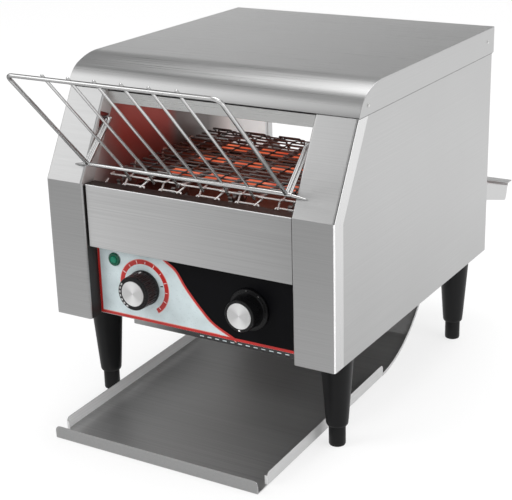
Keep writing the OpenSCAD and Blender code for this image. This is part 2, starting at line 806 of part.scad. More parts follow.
lamp_r = 7.5;
module lamp_bezel() {
    x = lamp_x;
    z = lamp_z;
    place() color([0.05, 0.32, 0.2]) difference() {
        union() {
            bar_y(x, z, fascia_y - 2.2, fascia_y, lamp_r);
            bar_y(x, z, fascia_y - 1, fascia_y + 14, lamp_r - 2 - run);
        }
        bar_y(x, z, fascia_y - 3, fascia_y + 8, lamp_r - 3.2);
    }
}

module lamp_lens() {
    x = lamp_x;
    z = lamp_z;
    r = lamp_r - 3.2 - run;
    place() color([0.1, 0.6, 0.4]) translate([x, fascia_y + 8, z]) rotate([90, 0, 0]) rotate_extrude()
        polygon(concat([[0, 0], [r, 0], [r, 10]],
            [for (a = [15:15:90]) [r * cos(a), 10 + 2.2 * sin(a)]]));
}

// ---- Infeed rack ----

module infeed_rack() {
    lower = [rack_foot[0], rack_foot[1]];
    tip_r = 0.9;
    tip_x = return_x + 12.6;
    tip = on_slope(rack_rise / cos(slope_a) - 5, -tip_r - seat);
    wall_peg = return_x + sheet + 1.6;
    ball = 1.03;
    twin_x = rack_x + frame_r + inner_r + seat;
    peak = polar(lower, rack_l + nub_l, 90 + rack_lean);
    foot_end = polar(lower, -tail_l, 81 + rack_lean);
    module at(x, p, q, r) wire([x, p[0], p[1]], [x, q[0], q[1]], r);
    module knot(x, p, r) translate([x, p[0], p[1]]) sphere(r * ball, $fn = 32);
    place() color("silver") {
        wire([-rack_x, rack_top[0], rack_top[1]], [rack_x, rack_top[0], rack_top[1]], frame_r);
        wire([-twin_x, lower[0], lower[1]], [twin_x, lower[0], lower[1]], frame_r * 0.92);
        both_sides() {
            at(rack_x, lower, rack_top, frame_r);
            knot(rack_x, rack_top, frame_r);
            knot(rack_x, lower, frame_r);
            at(rack_x, lower, rack_hook, frame_r);
            at(twin_x, lower, rack_hook, inner_r);
            knot(rack_x, rack_hook, frame_r);
            wire([rack_x, rack_hook[0], rack_hook[1]], [wall_peg, rack_hook[0], rack_hook[1]], frame_r * 0.98);
            wire([rack_x, lower[0], lower[1]], [tip_x, tip[0], tip[1]], frame_r * 0.85, tip_r);
        }
        for (i = [0:inner_wires - 1]) {
            x = (i - (inner_wires - 1) / 2) * inner_step;
            at(x, lower, peak, inner_r);
            knot(x, lower, inner_r);
            at(x, lower, foot_end, inner_r);
        }
    }
}

// ---- Tray and rear slide ----

module tray() {
    x = tray_w / 2;
    corner = 6;
    hem_back = 20;
    tab = 3.5;
    side_end = tray_bend + 6;
    place() color("gainsboro") translate([0, -tray_front, 0]) rotate([tray_tilt, 0, 0]) {
        slab([-x, 0, 0], [x, tray_bend, sheet]);
        translate([0, tail_c[0], tail_c[1]]) bent_strip([0, 0], tail_r + sheet, -90, -90 + tail_end, tray_w);
        rotate([90, 0, 0]) translate([0, 0, -sheet]) linear_extrude(sheet) {
            translate([-x, 0]) square([2 * x, tray_h - corner]);
            translate([-x + corner, 0]) square([2 * x - 2 * corner, tray_h]);
            for (s = [-1, 1]) translate([s * (x - corner), tray_h - corner]) circle(corner);
        }
        both_sides() slab([x - tab, hem_back, 0], [x, hem_back + sheet, tray_h - tab]);
        both_sides() along_x(x - sheet, sheet) {
            polygon([[hem_back, 0], [hem_back, tray_h - tab], [hem_back + tab, tray_h],
                     [side_end - corner, tray_h], [side_end - corner, 0]]);
            translate([hem_back + tab, sheet]) square([side_end - hem_back - tab, tray_h - corner - sheet]);
            translate([side_end - corner, tray_h - corner]) circle(corner);
        }
    }
}

// A tongue inside the window, a shelf with side cheeks and a lip outside it
module rear_slide() {
    cheek_r = 6;
    cheek_y = cheek_h * tan(slide_a) + 1;
    cheek_l = shelf_l - 1 - cheek_y;
    start = (shelf_y - tongue_y) / cos(slide_a);
    inner_w = shelf_w - 2 * sheet;
    cover = 0.5;                     // the upright step stands this far past the floor's end
    module cheek_2d() {
        translate([cheek_y, -cheek_h]) {
            square([cheek_l - cheek_r, cheek_h + sheet / 2]);
            translate([0, cheek_r]) square([cheek_l, cheek_h - cheek_r + sheet / 2]);
            translate([cheek_l - cheek_r, cheek_r]) circle(cheek_r);
        }
    }
    module side_2d() {
        rotate(-slide_a) {
            square([shelf_l, sheet]);
            cheek_2d();
        }
        translate(shelf_l * [cos(slide_a), -sin(slide_a)]) polygon([
            [cover - sheet, 0],
            [cover, 0],
            [cover, lip_up],
            [lip_l, lip_up],
            [lip_l, lip_up + sheet],
            [cover - sheet, lip_up + sheet]
        ]);
    }
    place() color("gainsboro") translate([0, shelf_y, slide_line]) {
        difference() {
            along_x(-shelf_w / 2, shelf_w) side_2d();
            along_x(-inner_w / 2, inner_w) rotate(-slide_a)
                translate([cheek_y - eps, -cheek_h - eps]) square([cheek_l + 1.5 * eps, cheek_h + eps]);
        }
        along_x(-tongue_x, 2 * tongue_x) rotate(-slide_a) translate([-start, 0]) square([start + 4, sheet]);
    }
}

// ---- Legs and fasteners ----

leg_places = [[-1, leg_y], [1, leg_y], [-1, body_d - leg_back], [1, body_d - leg_back]];

module leg_washers() {
    place() color("silver") for (p = leg_places) translate([p[0] * leg_x, p[1], leg_top]) difference() {
        cylinder(h = washer_h, r = leg_r - 3);
        translate([0, 0, -eps]) cylinder(h = washer_h + 2 * eps, r = foot_stem_r);
    }
}

module leg(i) {
    p = leg_places[i];
    place() color([0.1, 0.1, 0.1]) translate([p[0] * leg_x, p[1], 0]) rotate_extrude() polygon([
        [foot_stem_r + run, foot_h],
        [leg_foot_r - 1.6, foot_h],
        [leg_foot_r, foot_h + 2.6],
        [leg_foot_r + 0.1, foot_h + 4],
        [leg_r, leg_top - 1],
        [leg_r - 1, leg_top],
        [foot_stem_r + run, leg_top]
    ]);
}

module foot(i) {
    p = leg_places[i];
    place() color([0.12, 0.12, 0.12]) translate([p[0] * leg_x, p[1], 0]) rotate_extrude() polygon([
        [0, 0],
        [foot_r - 2, 0],
        [foot_r, 2.2],
        [foot_r, foot_h - 0.3],
        [foot_stem_r, foot_h - 0.3],
        [foot_stem_r, foot_h + foot_stem_l],
        [0, foot_h + foot_stem_l]
    ]);
}

// Dome heads on the hood flanges and the rear panel
module casing_screws() {
    head_r = 2.2;
    head_h = 1;
    hood_screws = [[74, hood_edge + 10], [body_d - 20, hood_edge + 16]];
    module head() rotate_extrude() polygon([[0, 0], [head_r, 0], [head_r, 0.3], [head_r - 0.9, head_h], [0, head_h]]);
    place() color("silver") both_sides() {
        for (p = hood_screws) translate([hood_x, p[0], p[1]]) rotate([0, 90, 0]) head();
        for (z = [under_z + 12, window_z[0] - cheek_h - 14, window_z[1] + 14])
            translate([side_x - 10, body_d, z]) rotate([-90, 0, 0]) head();
    }
}

base_plate();
side_panel(-1);  // side_panel_left
side_panel(1);  // side_panel_right
column(-1);  // column_left
column(1);  // column_right
tunnel_wall(-1);  // tunnel_wall_left
tunnel_wall(1);  // tunnel_wall_right
hood();
rear_panel();
front_band();
control_panel();
heat_shield();
return_chute();
upper_reflector();
lower_reflector();
quartz_tubes(upper_tube_places);  // upper_quartz_tubes
quartz_tubes(lower_tube_places);  // lower_quartz_tubes
tube_holders();
wire_belt();
shaft(rear_shaft_y, wheel_x + wheel_w / 2 + shaft_over);  // drive_shaft
belt_sprockets(rear_shaft_y);  // drive_sprockets
shaft(front_shaft_y, wall_x + sheet + shaft_over);  // idler_shaft
belt_sprockets(front_shaft_y);  // idler_sprockets
shaft_bushes();
chain_wheel();
drive_chain();
gear_motor();
motor_wheel();
control_body(speed_x, speed_body);  // speed_control
control_body(selector_x, selector_body);  // selector_switch
spindle(speed_x);  // speed_spindle
knob(speed_x, speed_base_r, speed_base_r - 0.8, flutes);  // speed_knob
knob_cap(speed_x);  // speed_cap
spindle(selector_x);  // selector_spindle
knob(selector_x, skirt_r, knob_r + 1, 0);  // selector_knob
knob_cap(selector_x);  // selector_cap
lamp_bezel();
lamp_lens();
infeed_rack();
tray();
rear_slide();
cable_bush();
leg_washers();
leg(0);  // leg_front_left
leg(1);  // leg_front_right
leg(2);  // leg_rear_left
leg(3);  // leg_rear_right
foot(0);  // foot_front_left
foot(1);  // foot_front_right
foot(2);  // foot_rear_left
foot(3);  // foot_rear_right
casing_screws();
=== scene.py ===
import json
import math

import bmesh
import bpy
import numpy as np
from mathutils import Matrix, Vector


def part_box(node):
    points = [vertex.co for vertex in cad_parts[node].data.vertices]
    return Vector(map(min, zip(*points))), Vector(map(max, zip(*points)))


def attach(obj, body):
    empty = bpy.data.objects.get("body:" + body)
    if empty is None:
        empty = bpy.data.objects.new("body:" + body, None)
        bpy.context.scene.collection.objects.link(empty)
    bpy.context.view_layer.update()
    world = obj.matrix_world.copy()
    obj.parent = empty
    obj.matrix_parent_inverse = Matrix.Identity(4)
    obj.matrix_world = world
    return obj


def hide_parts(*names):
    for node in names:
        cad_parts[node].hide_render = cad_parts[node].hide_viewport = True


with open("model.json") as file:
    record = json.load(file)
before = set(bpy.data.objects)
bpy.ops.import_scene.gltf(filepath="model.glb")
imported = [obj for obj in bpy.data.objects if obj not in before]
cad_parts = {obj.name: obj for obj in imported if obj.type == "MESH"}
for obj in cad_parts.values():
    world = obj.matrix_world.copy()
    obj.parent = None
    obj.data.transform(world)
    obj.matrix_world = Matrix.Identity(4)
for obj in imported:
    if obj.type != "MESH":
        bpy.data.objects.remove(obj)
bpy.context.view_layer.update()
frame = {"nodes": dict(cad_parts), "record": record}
nodes = frame["nodes"]
housingDepth = 0.424  # m, from the column faces to the back of the rear panel
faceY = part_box("rear_panel")[1][1] - housingDepth
scene = bpy.context.scene
scene.view_settings.view_transform = "Standard"
print("frame loaded:", len(nodes), "nodes")


def metres(points):
    # millimetres with y counted from the column faces, turned into the frame's metres
    return np.asarray(points, float) * 0.001 + np.array([0.0, faceY, 0.0])


# camera

viewFrom = {
    "place": (747.8, -1075.4, 698.4),  # mm
    "turn": 30.70, "dip": 19.84, "lean": -1.37,  # degrees
    "lens": 90.38, "shift": (-0.0277, -0.0096), "clip": (0.05, 50.0),
}


def makeCamera(v):
    # turned about the upright, dipped below the level and leaned about its own line of sight
    turn, dip, lean = (math.radians(v[k]) for k in ("turn", "dip", "lean"))
    ahead = np.array([-math.sin(turn) * math.cos(dip), math.cos(turn) * math.cos(dip), -math.sin(dip)])
    level = np.array([math.cos(turn), math.sin(turn), 0.0])
    upright = np.cross(level, ahead)
    across = level * math.cos(lean) + upright * math.sin(lean)
    upward = upright * math.cos(lean) - level * math.sin(lean)
    camera = bpy.data.objects.new("camera", bpy.data.cameras.new("camera"))
    scene.collection.objects.link(camera)
    basis = np.eye(4)
    basis[:3, 0], basis[:3, 1], basis[:3, 2] = across, upward, -ahead
    basis[:3, 3] = metres(v["place"])
    camera.matrix_world = Matrix(basis.tolist())
    camera.data.lens = v["lens"]
    camera.data.shift_x, camera.data.shift_y = v["shift"]
    camera.data.clip_start, camera.data.clip_end = v["clip"]
    scene.camera = camera


makeCamera(viewFrom)
print("camera placed")


# materials

def shaderOf(name, colour, metallic, roughness, **inputs):
    # a material with its tree and shader. Other inputs have _ for the spaces in their names
    material = bpy.data.materials.new(name)
    material.use_nodes = True
    material.diffuse_color = (*colour, 1.0)
    shader = material.node_tree.nodes["Principled BSDF"]
    shader.inputs["Base Color"].default_value = (*colour, 1.0)
    shader.inputs["Metallic"].default_value = metallic
    shader.inputs["Roughness"].default_value = roughness
    for key, value in inputs.items():
        shader.inputs[key.replace("_", " ")].default_value = value
    return material, material.node_tree, shader


def link(tree, fromSocket, toSocket):
    # joins two sockets of one node tree
    tree.links.new(fromSocket, toSocket)


def coordsOf(tree, kind="Object"):
    # texture coordinates as a vector socket
    return tree.nodes.new("ShaderNodeTexCoord").outputs[kind]


def axesOf(tree, vector):
    # X, Y and Z of a vector as separate sockets
    split = tree.nodes.new("ShaderNodeSeparateXYZ")
    link(tree, vector, split.inputs[0])
    return split.outputs


def mathNode(tree, operation, *values):
    # a Math node, fed with sockets or plain numbers
    node = tree.nodes.new("ShaderNodeMath")
    node.operation = operation
    for socket, value in zip(node.inputs, values):
        if isinstance(value, float):
            socket.default_value = value
        else:
            link(tree, value, socket)
    return node.outputs[0]


def vectorNode(tree, operation, vector, other=None):
    # a Vector Math node on a socket and, where one is given, a fixed vector
    node = tree.nodes.new("ShaderNodeVectorMath")
    node.operation = operation
    link(tree, vector, node.inputs[0])
    if other is not None:
        node.inputs[1].default_value = other
    return node


def noiseOn(tree, scale, detail=2.0, place=(0.0, 0.0, 0.0)):
    # noise on Object coordinates, stretched by the Mapping scale
    mapping = tree.nodes.new("ShaderNodeMapping")
    mapping.inputs["Scale"].default_value = scale
    mapping.inputs["Location"].default_value = place
    noise = tree.nodes.new("ShaderNodeTexNoise")
    noise.inputs["Scale"].default_value = 1.0
    noise.inputs["Detail"].default_value = detail
    link(tree, coordsOf(tree), mapping.inputs["Vector"])
    link(tree, mapping.outputs["Vector"], noise.inputs["Vector"])
    return noise.outputs["Fac"]


def spread(tree, value, low, high, fromLow=0.3, fromHigh=0.7):
    # a value between fromLow and fromHigh stretched to between low and high
    ranged = tree.nodes.new("ShaderNodeMapRange")
    for key, number in (("From Min", fromLow), ("From Max", fromHigh), ("To Min", low), ("To Max", high)):
        ranged.inputs[key].default_value = number
    link(tree, value, ranged.inputs["Value"])
    return ranged.outputs["Result"]


def mixed(tree, factor, first, second):
    # two colours, each a socket or plain numbers, mixed by a factor socket
    mix = tree.nodes.new("ShaderNodeMix")
    mix.data_type = "RGBA"
    link(tree, factor, mix.inputs["Factor"])
    for socket, colour in ((mix.inputs["A"], first), (mix.inputs["B"], second)):
        if isinstance(colour, tuple):
            socket.default_value = (*colour, 1.0)
        else:
            link(tree, colour, socket)
    return mix.outputs["Result"]


def bumped(tree, shader, height, strength, depth):
    # relief from a height socket, depth in m
    bump = tree.nodes.new("ShaderNodeBump")
    bump.inputs["Strength"].default_value = strength
    bump.inputs["Distance"].default_value = depth
    link(tree, height, bump.inputs["Height"])
    link(tree, bump.outputs["Normal"], shader.inputs["Normal"])


def shade(colour, factor):
    # the colour made darker or brighter, up to white
    return tuple(min(1.0, c * factor) for c in colour)


def mottled(tree, noise, colour, dark, bright):
    # between two shades of one colour, by a noise
    return mixed(tree, spread(tree, noise, 0.0, 1.0), shade(colour, dark), shade(colour, bright))


def faded(tree, tone, axis, *levels):
    # tone times a level that changes along one axis: levels = from, to, place from, place to
    scale = vectorNode(tree, "SCALE", tone)
    link(tree, spread(tree, axesOf(tree, coordsOf(tree))[axis], *levels), scale.inputs["Scale"])
    return scale.outputs[0]


def toned(tree, shader, tone, fade=None):
    # the base colour, faded along an axis where a fade is given
    if fade:
        tone = faded(tree, tone, *fade)
    link(tree, tone, shader.inputs["Base Color"])


def roughened(tree, shader, noise, middle, less, more):
    # roughness that a noise moves a little below and above its middle value
    link(tree, spread(tree, noise, middle - less, middle + more), shader.inputs["Roughness"])


def facingOf(tree):
    # 0 where a surface faces the eye, 1 where it turns away
    edge = tree.nodes.new("ShaderNodeLayerWeight")
    edge.inputs["Blend"].default_value = 0.5
    return edge.outputs["Facing"]


def brushedSheet(name, colour, across, roughness=0.34, contrast=0.06, lines=0.12, fade=None, metallic=1.0):
    # streaks: noise drawn out along the brush, fine across it, over slow clouds
    material, tree, shader = shaderOf(name, colour, metallic, roughness)
    streaks = noiseOn(tree, across, 5.0)
    clouds = noiseOn(tree, (9.0, 9.0, 9.0), place=(3.0, 1.0, 7.0))
    tone = mottled(tree, streaks, colour, 1.0 - contrast, 1.0 + contrast)
    tone = mixed(tree, spread(tree, clouds, 0.0, 0.35), tone, shade(colour, 0.93))
    toned(tree, shader, tone, fade)
    roughened(tree, shader, streaks, roughness, 0.05, 0.07)
    bumped(tree, shader, streaks, lines, 0.0002)
    return material


def plainMetal(name, colour, roughness, grain=300.0, lines=0.05, fade=None, metallic=1.0):
    # drawn or rolled metal: fine even noise in colour, roughness and bump
    material, tree, shader = shaderOf(name, colour, metallic, roughness)
    speckle = noiseOn(tree, (grain, grain, grain), 3.0)
    toned(tree, shader, mottled(tree, speckle, colour, 0.93, 1.05), fade)
    roughened(tree, shader, speckle, roughness, 0.04, 0.06)
    bumped(tree, shader, speckle, lines, 0.0001)
    return material


def paintedGlowWall(name, ownTone, glowTone, roughness, h):
    # inner sheet: a painted red glow beside the front heaters, and painted light that makes it paler towards
    # its front and rear edges
    material, tree, shader = shaderOf(name, ownTone, h["metallic"], roughness)
    patches = noiseOn(tree, (14.0, 14.0, 14.0), 3.0)
    axes = axesOf(tree, coordsOf(tree))
    rise, fall = spread(tree, axes["Y"], 0.0, 1.0, *h["rise"]), spread(tree, axes["Y"], 1.0, 0.0, *h["fall"])
    height = spread(tree, axes["Z"], 0.6, 1.0, *h["height"])
    near = mathNode(tree, "MULTIPLY", mathNode(tree, "MULTIPLY", rise, fall), height)
    tone = mixed(tree, spread(tree, patches, 0.0, 0.5), ownTone, shade(ownTone, 0.75))
    tone = faded(tree, tone, "Y", *h["rear"])
    tone = faded(tree, tone, "Y", *h["front"])
    toned(tree, shader, mixed(tree, near, tone, glowTone))
    roughened(tree, shader, patches, roughness, 0.05, 0.08)
    return material


def spunCap(name, colour, roughness, centre, depth=0.3):
    # turned face: tone follows cos 2a round the centre (x, z), a painted highlight in light and dark sectors,
    # with fine rings in roughness
    material, tree, shader = shaderOf(name, colour, 0.6, roughness)
    moved = vectorNode(tree, "SUBTRACT", coordsOf(tree), (centre[0], 0.0, centre[1])).outputs[0]
    axes = axesOf(tree, moved)
    turn = mathNode(tree, "ARCTAN2", axes["X"], axes["Z"])
    wave = mathNode(tree, "COSINE", mathNode(tree, "MULTIPLY", turn, 2.0))
    bright = spread(tree, wave, 0.0, 1.0, -0.6, 1.0)
    toned(tree, shader, mixed(tree, bright, shade(colour, 1.0 - depth), colour))
    grooves, fine = tree.nodes.new("ShaderNodeTexNoise"), tree.nodes.new("ShaderNodeCombineXYZ")
    link(tree, vectorNode(tree, "LENGTH", moved).outputs["Value"], fine.inputs["X"])
    link(tree, fine.outputs[0], grooves.inputs["Vector"])
    grooves.inputs["Scale"].default_value = 2500.0
    roughened(tree, shader, grooves.outputs[0], roughness, 0.05, 0.08)
    return material


def chromed(name, colour, edgeTone, roughness):
    # polished wire: bright along its middle, with painted shade where it turns away
    material, tree, shader = shaderOf(name, colour, 0.9, roughness)
    turned = spread(tree, facingOf(tree), 0.0, 1.0, 0.22, 0.72)
    toned(tree, shader, mixed(tree, turned, colour, shade(colour, edgeTone)))
    roughened(tree, shader, noiseOn(tree, (60.0, 60.0, 60.0)), roughness, 0.03, 0.04)
    return material


def paintedTone(name, colour, metallic, roughness):
    # brushed edge tone, lighter or darker than its sheet as painted light and shade, that also scatters
    # light, so it stays bright where little is mirrored
    material, tree, shader = shaderOf(name, colour, metallic, roughness)
    streaks = noiseOn(tree, (600.0, 5.0, 900.0), 4.0)
    toned(tree, shader, mottled(tree, streaks, colour, 0.92, 1.04))
    roughened(tree, shader, streaks, roughness, 0.04, 0.05)
    return material


def moulded(name, colour, roughness, grain=900.0, lines=0.08, **inputs):
    # plastic, ceramic, rubber or print: a fine skin of noise in roughness and bump
    material, tree, shader = shaderOf(name, colour, 0.0, roughness, **inputs)
    skin = noiseOn(tree, (grain, grain, grain))
    toned(tree, shader, mottled(tree, noiseOn(tree, (40.0, 40.0, 40.0)), colour, 0.9, 1.1))
    roughened(tree, shader, skin, roughness, 0.04, 0.05)
    bumped(tree, shader, skin, lines, 0.00005)
    return material


def lit(name, colour, roughness, glow, strength):
    # painted light: a plate that gives off a little light of its own, though it is no lamp
    return moulded(name, colour, roughness, Emission_Color=(*glow, 1.0), Emission_Strength=strength)


def glowing(name, glass, colour, glowTone, strength, ends=(0.08, 0.096)):
    # quartz tube: dull glass at its edges and a glowing coil seen through its middle,
    # hotter and cooler along the tube and cold towards its ends (|x| in m)
    material, tree, shader = shaderOf(name, glass, 0.0, 0.25)
    heat = noiseOn(tree, (25.0, 160.0, 160.0))
    coil = spread(tree, facingOf(tree), strength, strength * 0.04, 0.25, 0.6)
    across = axesOf(tree, coordsOf(tree))["X"]
    fromLeft = spread(tree, across, 0.03, 1.0, -ends[1], -ends[0])
    fromRight = spread(tree, across, 1.0, 0.03, *ends)
    coil = mathNode(tree, "MULTIPLY", coil, mathNode(tree, "MULTIPLY", fromLeft, fromRight))
    link(tree, mixed(tree, spread(tree, heat, 0.0, 1.0), colour, glowTone), shader.inputs["Emission Color"])
    link(tree, coil, shader.inputs["Emission Strength"])
    return material


steel = (0.615, 0.616, 0.616)
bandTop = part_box("front_band")[1][2]
# where the painted red glow and painted light lie on the tunnel walls, in m
wallGlow = {
    "metallic": 0.45, "rise": (-0.182, -0.12), "fall": (-0.03, -0.008), "height": (0.275, 0.315),  # m
    "rear": (0.64, 3.0, 0.06, 0.115), "front": (2.9, 1.0, -0.18, -0.15),
}
paint = {
    "front": brushedSheet("brushedFront", steel, (5.0, 5.0, 800.0), contrast=0.065, lines=0.1),
    "side": brushedSheet("brushedSide", steel, (4.0, 4.0, 800.0), contrast=0.055, lines=0.1),
    # painted light: the band lighter at its left end and darker towards its right
    "band": brushedSheet("brushedBandPaintedGradient", steel, (4.0, 5.0, 700.0), contrast=0.08,
                         fade=("X", 1.6, 1.04, -0.13, 0.13)),
    # painted light: the columns' outer strips a lighter copy of the same steel
    "strip": brushedSheet("brushedStripPaintedLight", (0.845, 0.845, 0.845), (700.0, 700.0, 5.0), 0.3, 0.03),
    # painted light: the hood lighter at its left and darker towards its right
    "hood": brushedSheet("brushedHoodPaintedGradient", steel, (5.0, 1300.0, 1300.0), 0.31, 0.035, 0.06,
                         ("X", 1.02, 0.85, -0.16, 0.185)),
    # painted light: the tray a little lighter towards its left
    "tray": brushedSheet("brushedTrayPaintedGradient", (0.36, 0.36, 0.36), (4.0, 560.0, 560.0), 0.34, 0.12, 0.16,
                         ("X", 1.15, 1.0, -0.13, 0.13), 0.72),
    "slide": brushedSheet("brushedSlide", (0.7, 0.7, 0.7), (4.0, 900.0, 900.0)),
    "bar": brushedSheet("brightBar", (0.84, 0.84, 0.83), (6.0, 1500.0, 1500.0), 0.3, 0.01, 0.01),
    # painted light and shade: tones for the tray's sides, lip and tail, dark shade lines, and highlights on
    # edges
    "flange": paintedTone("flangePaintedLight", (0.92, 0.92, 0.92), 0.15, 0.45),
    "flangeOuter": paintedTone("outerSidePaintedLight", (0.6, 0.6, 0.6), 0.3, 0.45),
    "lip": paintedTone("trayLipPaintedLight", (0.4, 0.4, 0.4), 0.6, 0.4),
    "tail": paintedTone("trayTailPaintedLight", (0.36, 0.36, 0.36), 0.3, 0.4),
    "fineShadeLine": paintedTone("cheekShadow", (0.2, 0.2, 0.2), 0.5, 0.45),
    "shadeLine": paintedTone("bendShadow", (0.16, 0.16, 0.16), 0.8, 0.35),
    "edge": paintedTone("edgePaintedHighlight", (0.95, 0.95, 0.95), 0.3, 0.3),
    # painted shade: the base's front lip darker from its left part towards its right
    "baseLipPaintedShade": plainMetal("baseLipPaintedShade", (0.5, 0.5, 0.5), 0.4, 200.0, fade=("X", 1.0, 0.22, -0.085, -0.02)),
    # painted shade: the columns' mouth sides near black below the band's top
    "return": plainMetal("returnPaintedShade", (0.5, 0.47, 0.46), 0.42, 60.0, 0.02,
                         ("Z", 0.06, 1.0, bandTop - 0.003, bandTop + 0.003), 0.3),
    "inner": plainMetal("innerSheet", (0.42, 0.4, 0.39), 0.4, 120.0),
    "reflector": plainMetal("reflectorSheet", (0.2, 0.135, 0.115), 0.5, 90.0),
    # painted shade: a near black tone for the heat shield and the band's top flange
    "shadeDark": plainMetal("shadeDarkSheet", (0.09, 0.08, 0.075), 0.5, 90.0),
    # painted shade: the belt wire bright at the front roll and darker behind it
    "belt": plainMetal("beltWirePaintedShade", (0.95, 0.94, 0.93), 0.22, 500.0, 0.05,
                       ("Y", 1.0, 0.22, -0.162, -0.13), 0.5),
    "machined": plainMetal("machinedSteel", (0.42, 0.41, 0.4), 0.32, 400.0),
    "bronze": plainMetal("bushBronze", (0.55, 0.36, 0.17), 0.38, 400.0),
    "cast": plainMetal("castAluminium", (0.5, 0.5, 0.52), 0.45, 700.0, 0.2),
    # painted light: a red glow from the heaters on the tunnel walls, paler towards their ends
    "wall": paintedGlowWall("wallPaintedGlow", (0.4, 0.37, 0.36), (0.5, 0.085, 0.065), 0.42, wallGlow),
    "wire": chromed("brightWire", (0.9, 0.9, 0.9), 0.12, 0.1),
    "speedCap": spunCap("spunCapLeft", (0.93, 0.93, 0.93), 0.24, (-0.07, 0.1605)),
    "heatCap": spunCap("spunCapRight", (0.93, 0.93, 0.93), 0.24, (0.07, 0.1605)),
    "ceramic": moulded("ceramicSocket", (0.78, 0.76, 0.7), 0.6),
    "leg": moulded("legPlastic", (0.006, 0.006, 0.0065), 0.36, Specular_IOR_Level=0.25),
    "knob": moulded("knobPlastic", (0.006, 0.006, 0.0065), 0.3, 600.0, 0.03, Specular_IOR_Level=0.35),
    "rubber": moulded("bushRubber", (0.02, 0.02, 0.02), 0.6),
    "pale": moulded("panelPale", (0.61, 0.7, 0.72), 0.3, 400.0, 0.02),
    "black": moulded("panelBlack", (0.003, 0.003, 0.004), 0.35, 400.0, 0.02, Specular_IOR_Level=0.1),
    "red": moulded("panelRed", (0.5, 0.018, 0.014), 0.32, 400.0, 0.02),
    "rose": moulded("panelRose", (0.75, 0.3, 0.27), 0.35, 400.0, 0.02),
    "faintMark": moulded("markGrey", (0.12, 0.12, 0.12), 0.4, 400.0, 0.02),
    "mark": moulded("markWhite", (0.85, 0.85, 0.85), 0.4, 400.0, 0.02),
    "lampRim": moulded("lampRim", (0.003, 0.09, 0.05), 0.25, 400.0, 0.02),
    "lamp": moulded("lampLens", (0.006, 0.2, 0.115), 0.12, 400.0, 0.02),
    # painted light: plates that glow, pale behind the rear gaps and red behind the hook slots
    "gapLight": lit("gapLight", (0.6, 0.6, 0.6), 0.6, (1.0, 1.0, 1.0), 0.3),
    "slotPaintedGlow": lit("slotPaintedGlow", (0.2, 0.05, 0.045), 0.5, (0.3, 0.06, 0.05), 0.2),
    "tubes": glowing("quartzGlow", (0.12, 0.07, 0.06), (0.62, 0.07, 0.03), (0.95, 0.22, 0.1), 0.8),
}
print("materials made:", len(paint))


# pieces

def gridFaces(rows, columns, wrapColumns=False):
    # quads between neighbouring points of a rows x columns grid
    i, j = np.meshgrid(np.arange(rows - 1), np.arange(columns - (not wrapColumns)), indexing="ij")
    here, onward = i * columns, (i + 1) * columns
    beside = (j + 1) % columns
    return np.stack([here + j, onward + j, onward + beside, here + beside], -1).reshape(-1, 4)


def makePiece(name, shape, finish, body, replaced=(), weld=True, smooth=35.0):
    # a shape is (points in mm, faces). It goes into the mesh in metres, with faces pointing outwards
    points, faces = shape
    mesh = bpy.data.meshes.new(name)
    places = metres(np.asarray(points).reshape(-1, 3))
    mesh.from_pydata(places.tolist(), [], [list(map(int, face)) for face in faces])
    if weld:
        build = bmesh.new()
        build.from_mesh(mesh)
        bmesh.ops.remove_doubles(build, verts=build.verts, dist=1e-6)
        bmesh.ops.recalc_face_normals(build, faces=build.faces)
        build.to_mesh(mesh)
        build.free()
    mesh.shade_smooth()
    mesh.set_sharp_from_angle(angle=math.radians(smooth))
    mesh.materials.append(paint[finish])
    piece = bpy.data.objects.new(name, mesh)
    scene.collection.objects.link(piece)
    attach(piece, body)
    if replaced:
        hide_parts(*replaced)
    return piece


def soften(piece, width, steps=2, angle=28.0):
    # small rounded edges that catch the light, with flat faces shaded flat
    bevel = piece.modifiers.new("edges", "BEVEL")
    bevel.width = width * 0.001
    bevel.segments = steps
    bevel.limit_method = "ANGLE"
    bevel.angle_limit = math.radians(angle)
    bevel.use_clamp_overlap = True
    weighted = piece.modifiers.new("shading", "WEIGHTED_NORMAL")
    weighted.keep_sharp = False
    return piece


def softCopy(node, finish, width):
    # a welded copy of a CAD node's mesh, with coplanar triangles joined and edges rounded
    mesh = nodes[node].data.copy()
    mesh.name = node + "Skin"
    build = bmesh.new()
    build.from_mesh(mesh)
    bmesh.ops.remove_doubles(build, verts=build.verts, dist=2e-6)
    bmesh.ops.dissolve_limit(build, angle_limit=math.radians(0.4), verts=build.verts, edges=build.edges)
    build.to_mesh(mesh)
    build.free()
    mesh.shade_smooth()
    mesh.materials.clear()
    mesh.materials.append(paint[finish])
    piece = bpy.data.objects.new(mesh.name, mesh)
    scene.collection.objects.link(piece)
    bodies = frame["record"]["behaviour"]["bodies"]
    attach(piece, next(body for body, members in bodies.items() if node in members))
    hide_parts(node)
    return soften(piece, width)


def paintFaces(piece, finish, test):
    # another finish on the faces that pass the test, which gets their centres in mm and
    # their normals, each as rows of x, y and z
    piece.data.materials.append(paint[finish])
    slot = len(piece.data.materials) - 1
    count = len(piece.data.polygons)
    centre, normal = np.empty(count * 3), np.empty(count * 3)
    piece.data.polygons.foreach_get("center", centre)
    piece.data.polygons.foreach_get("normal", normal)
    centre = (centre.reshape(-1, 3) - (0.0, faceY, 0.0)) * 1000.0
    slots = np.empty(count, dtype=np.int32)
    piece.data.polygons.foreach_get("material_index", slots)
    slots[test(centre.T, normal.reshape(-1, 3).T)] = slot
    piece.data.polygons.foreach_set("material_index", slots)


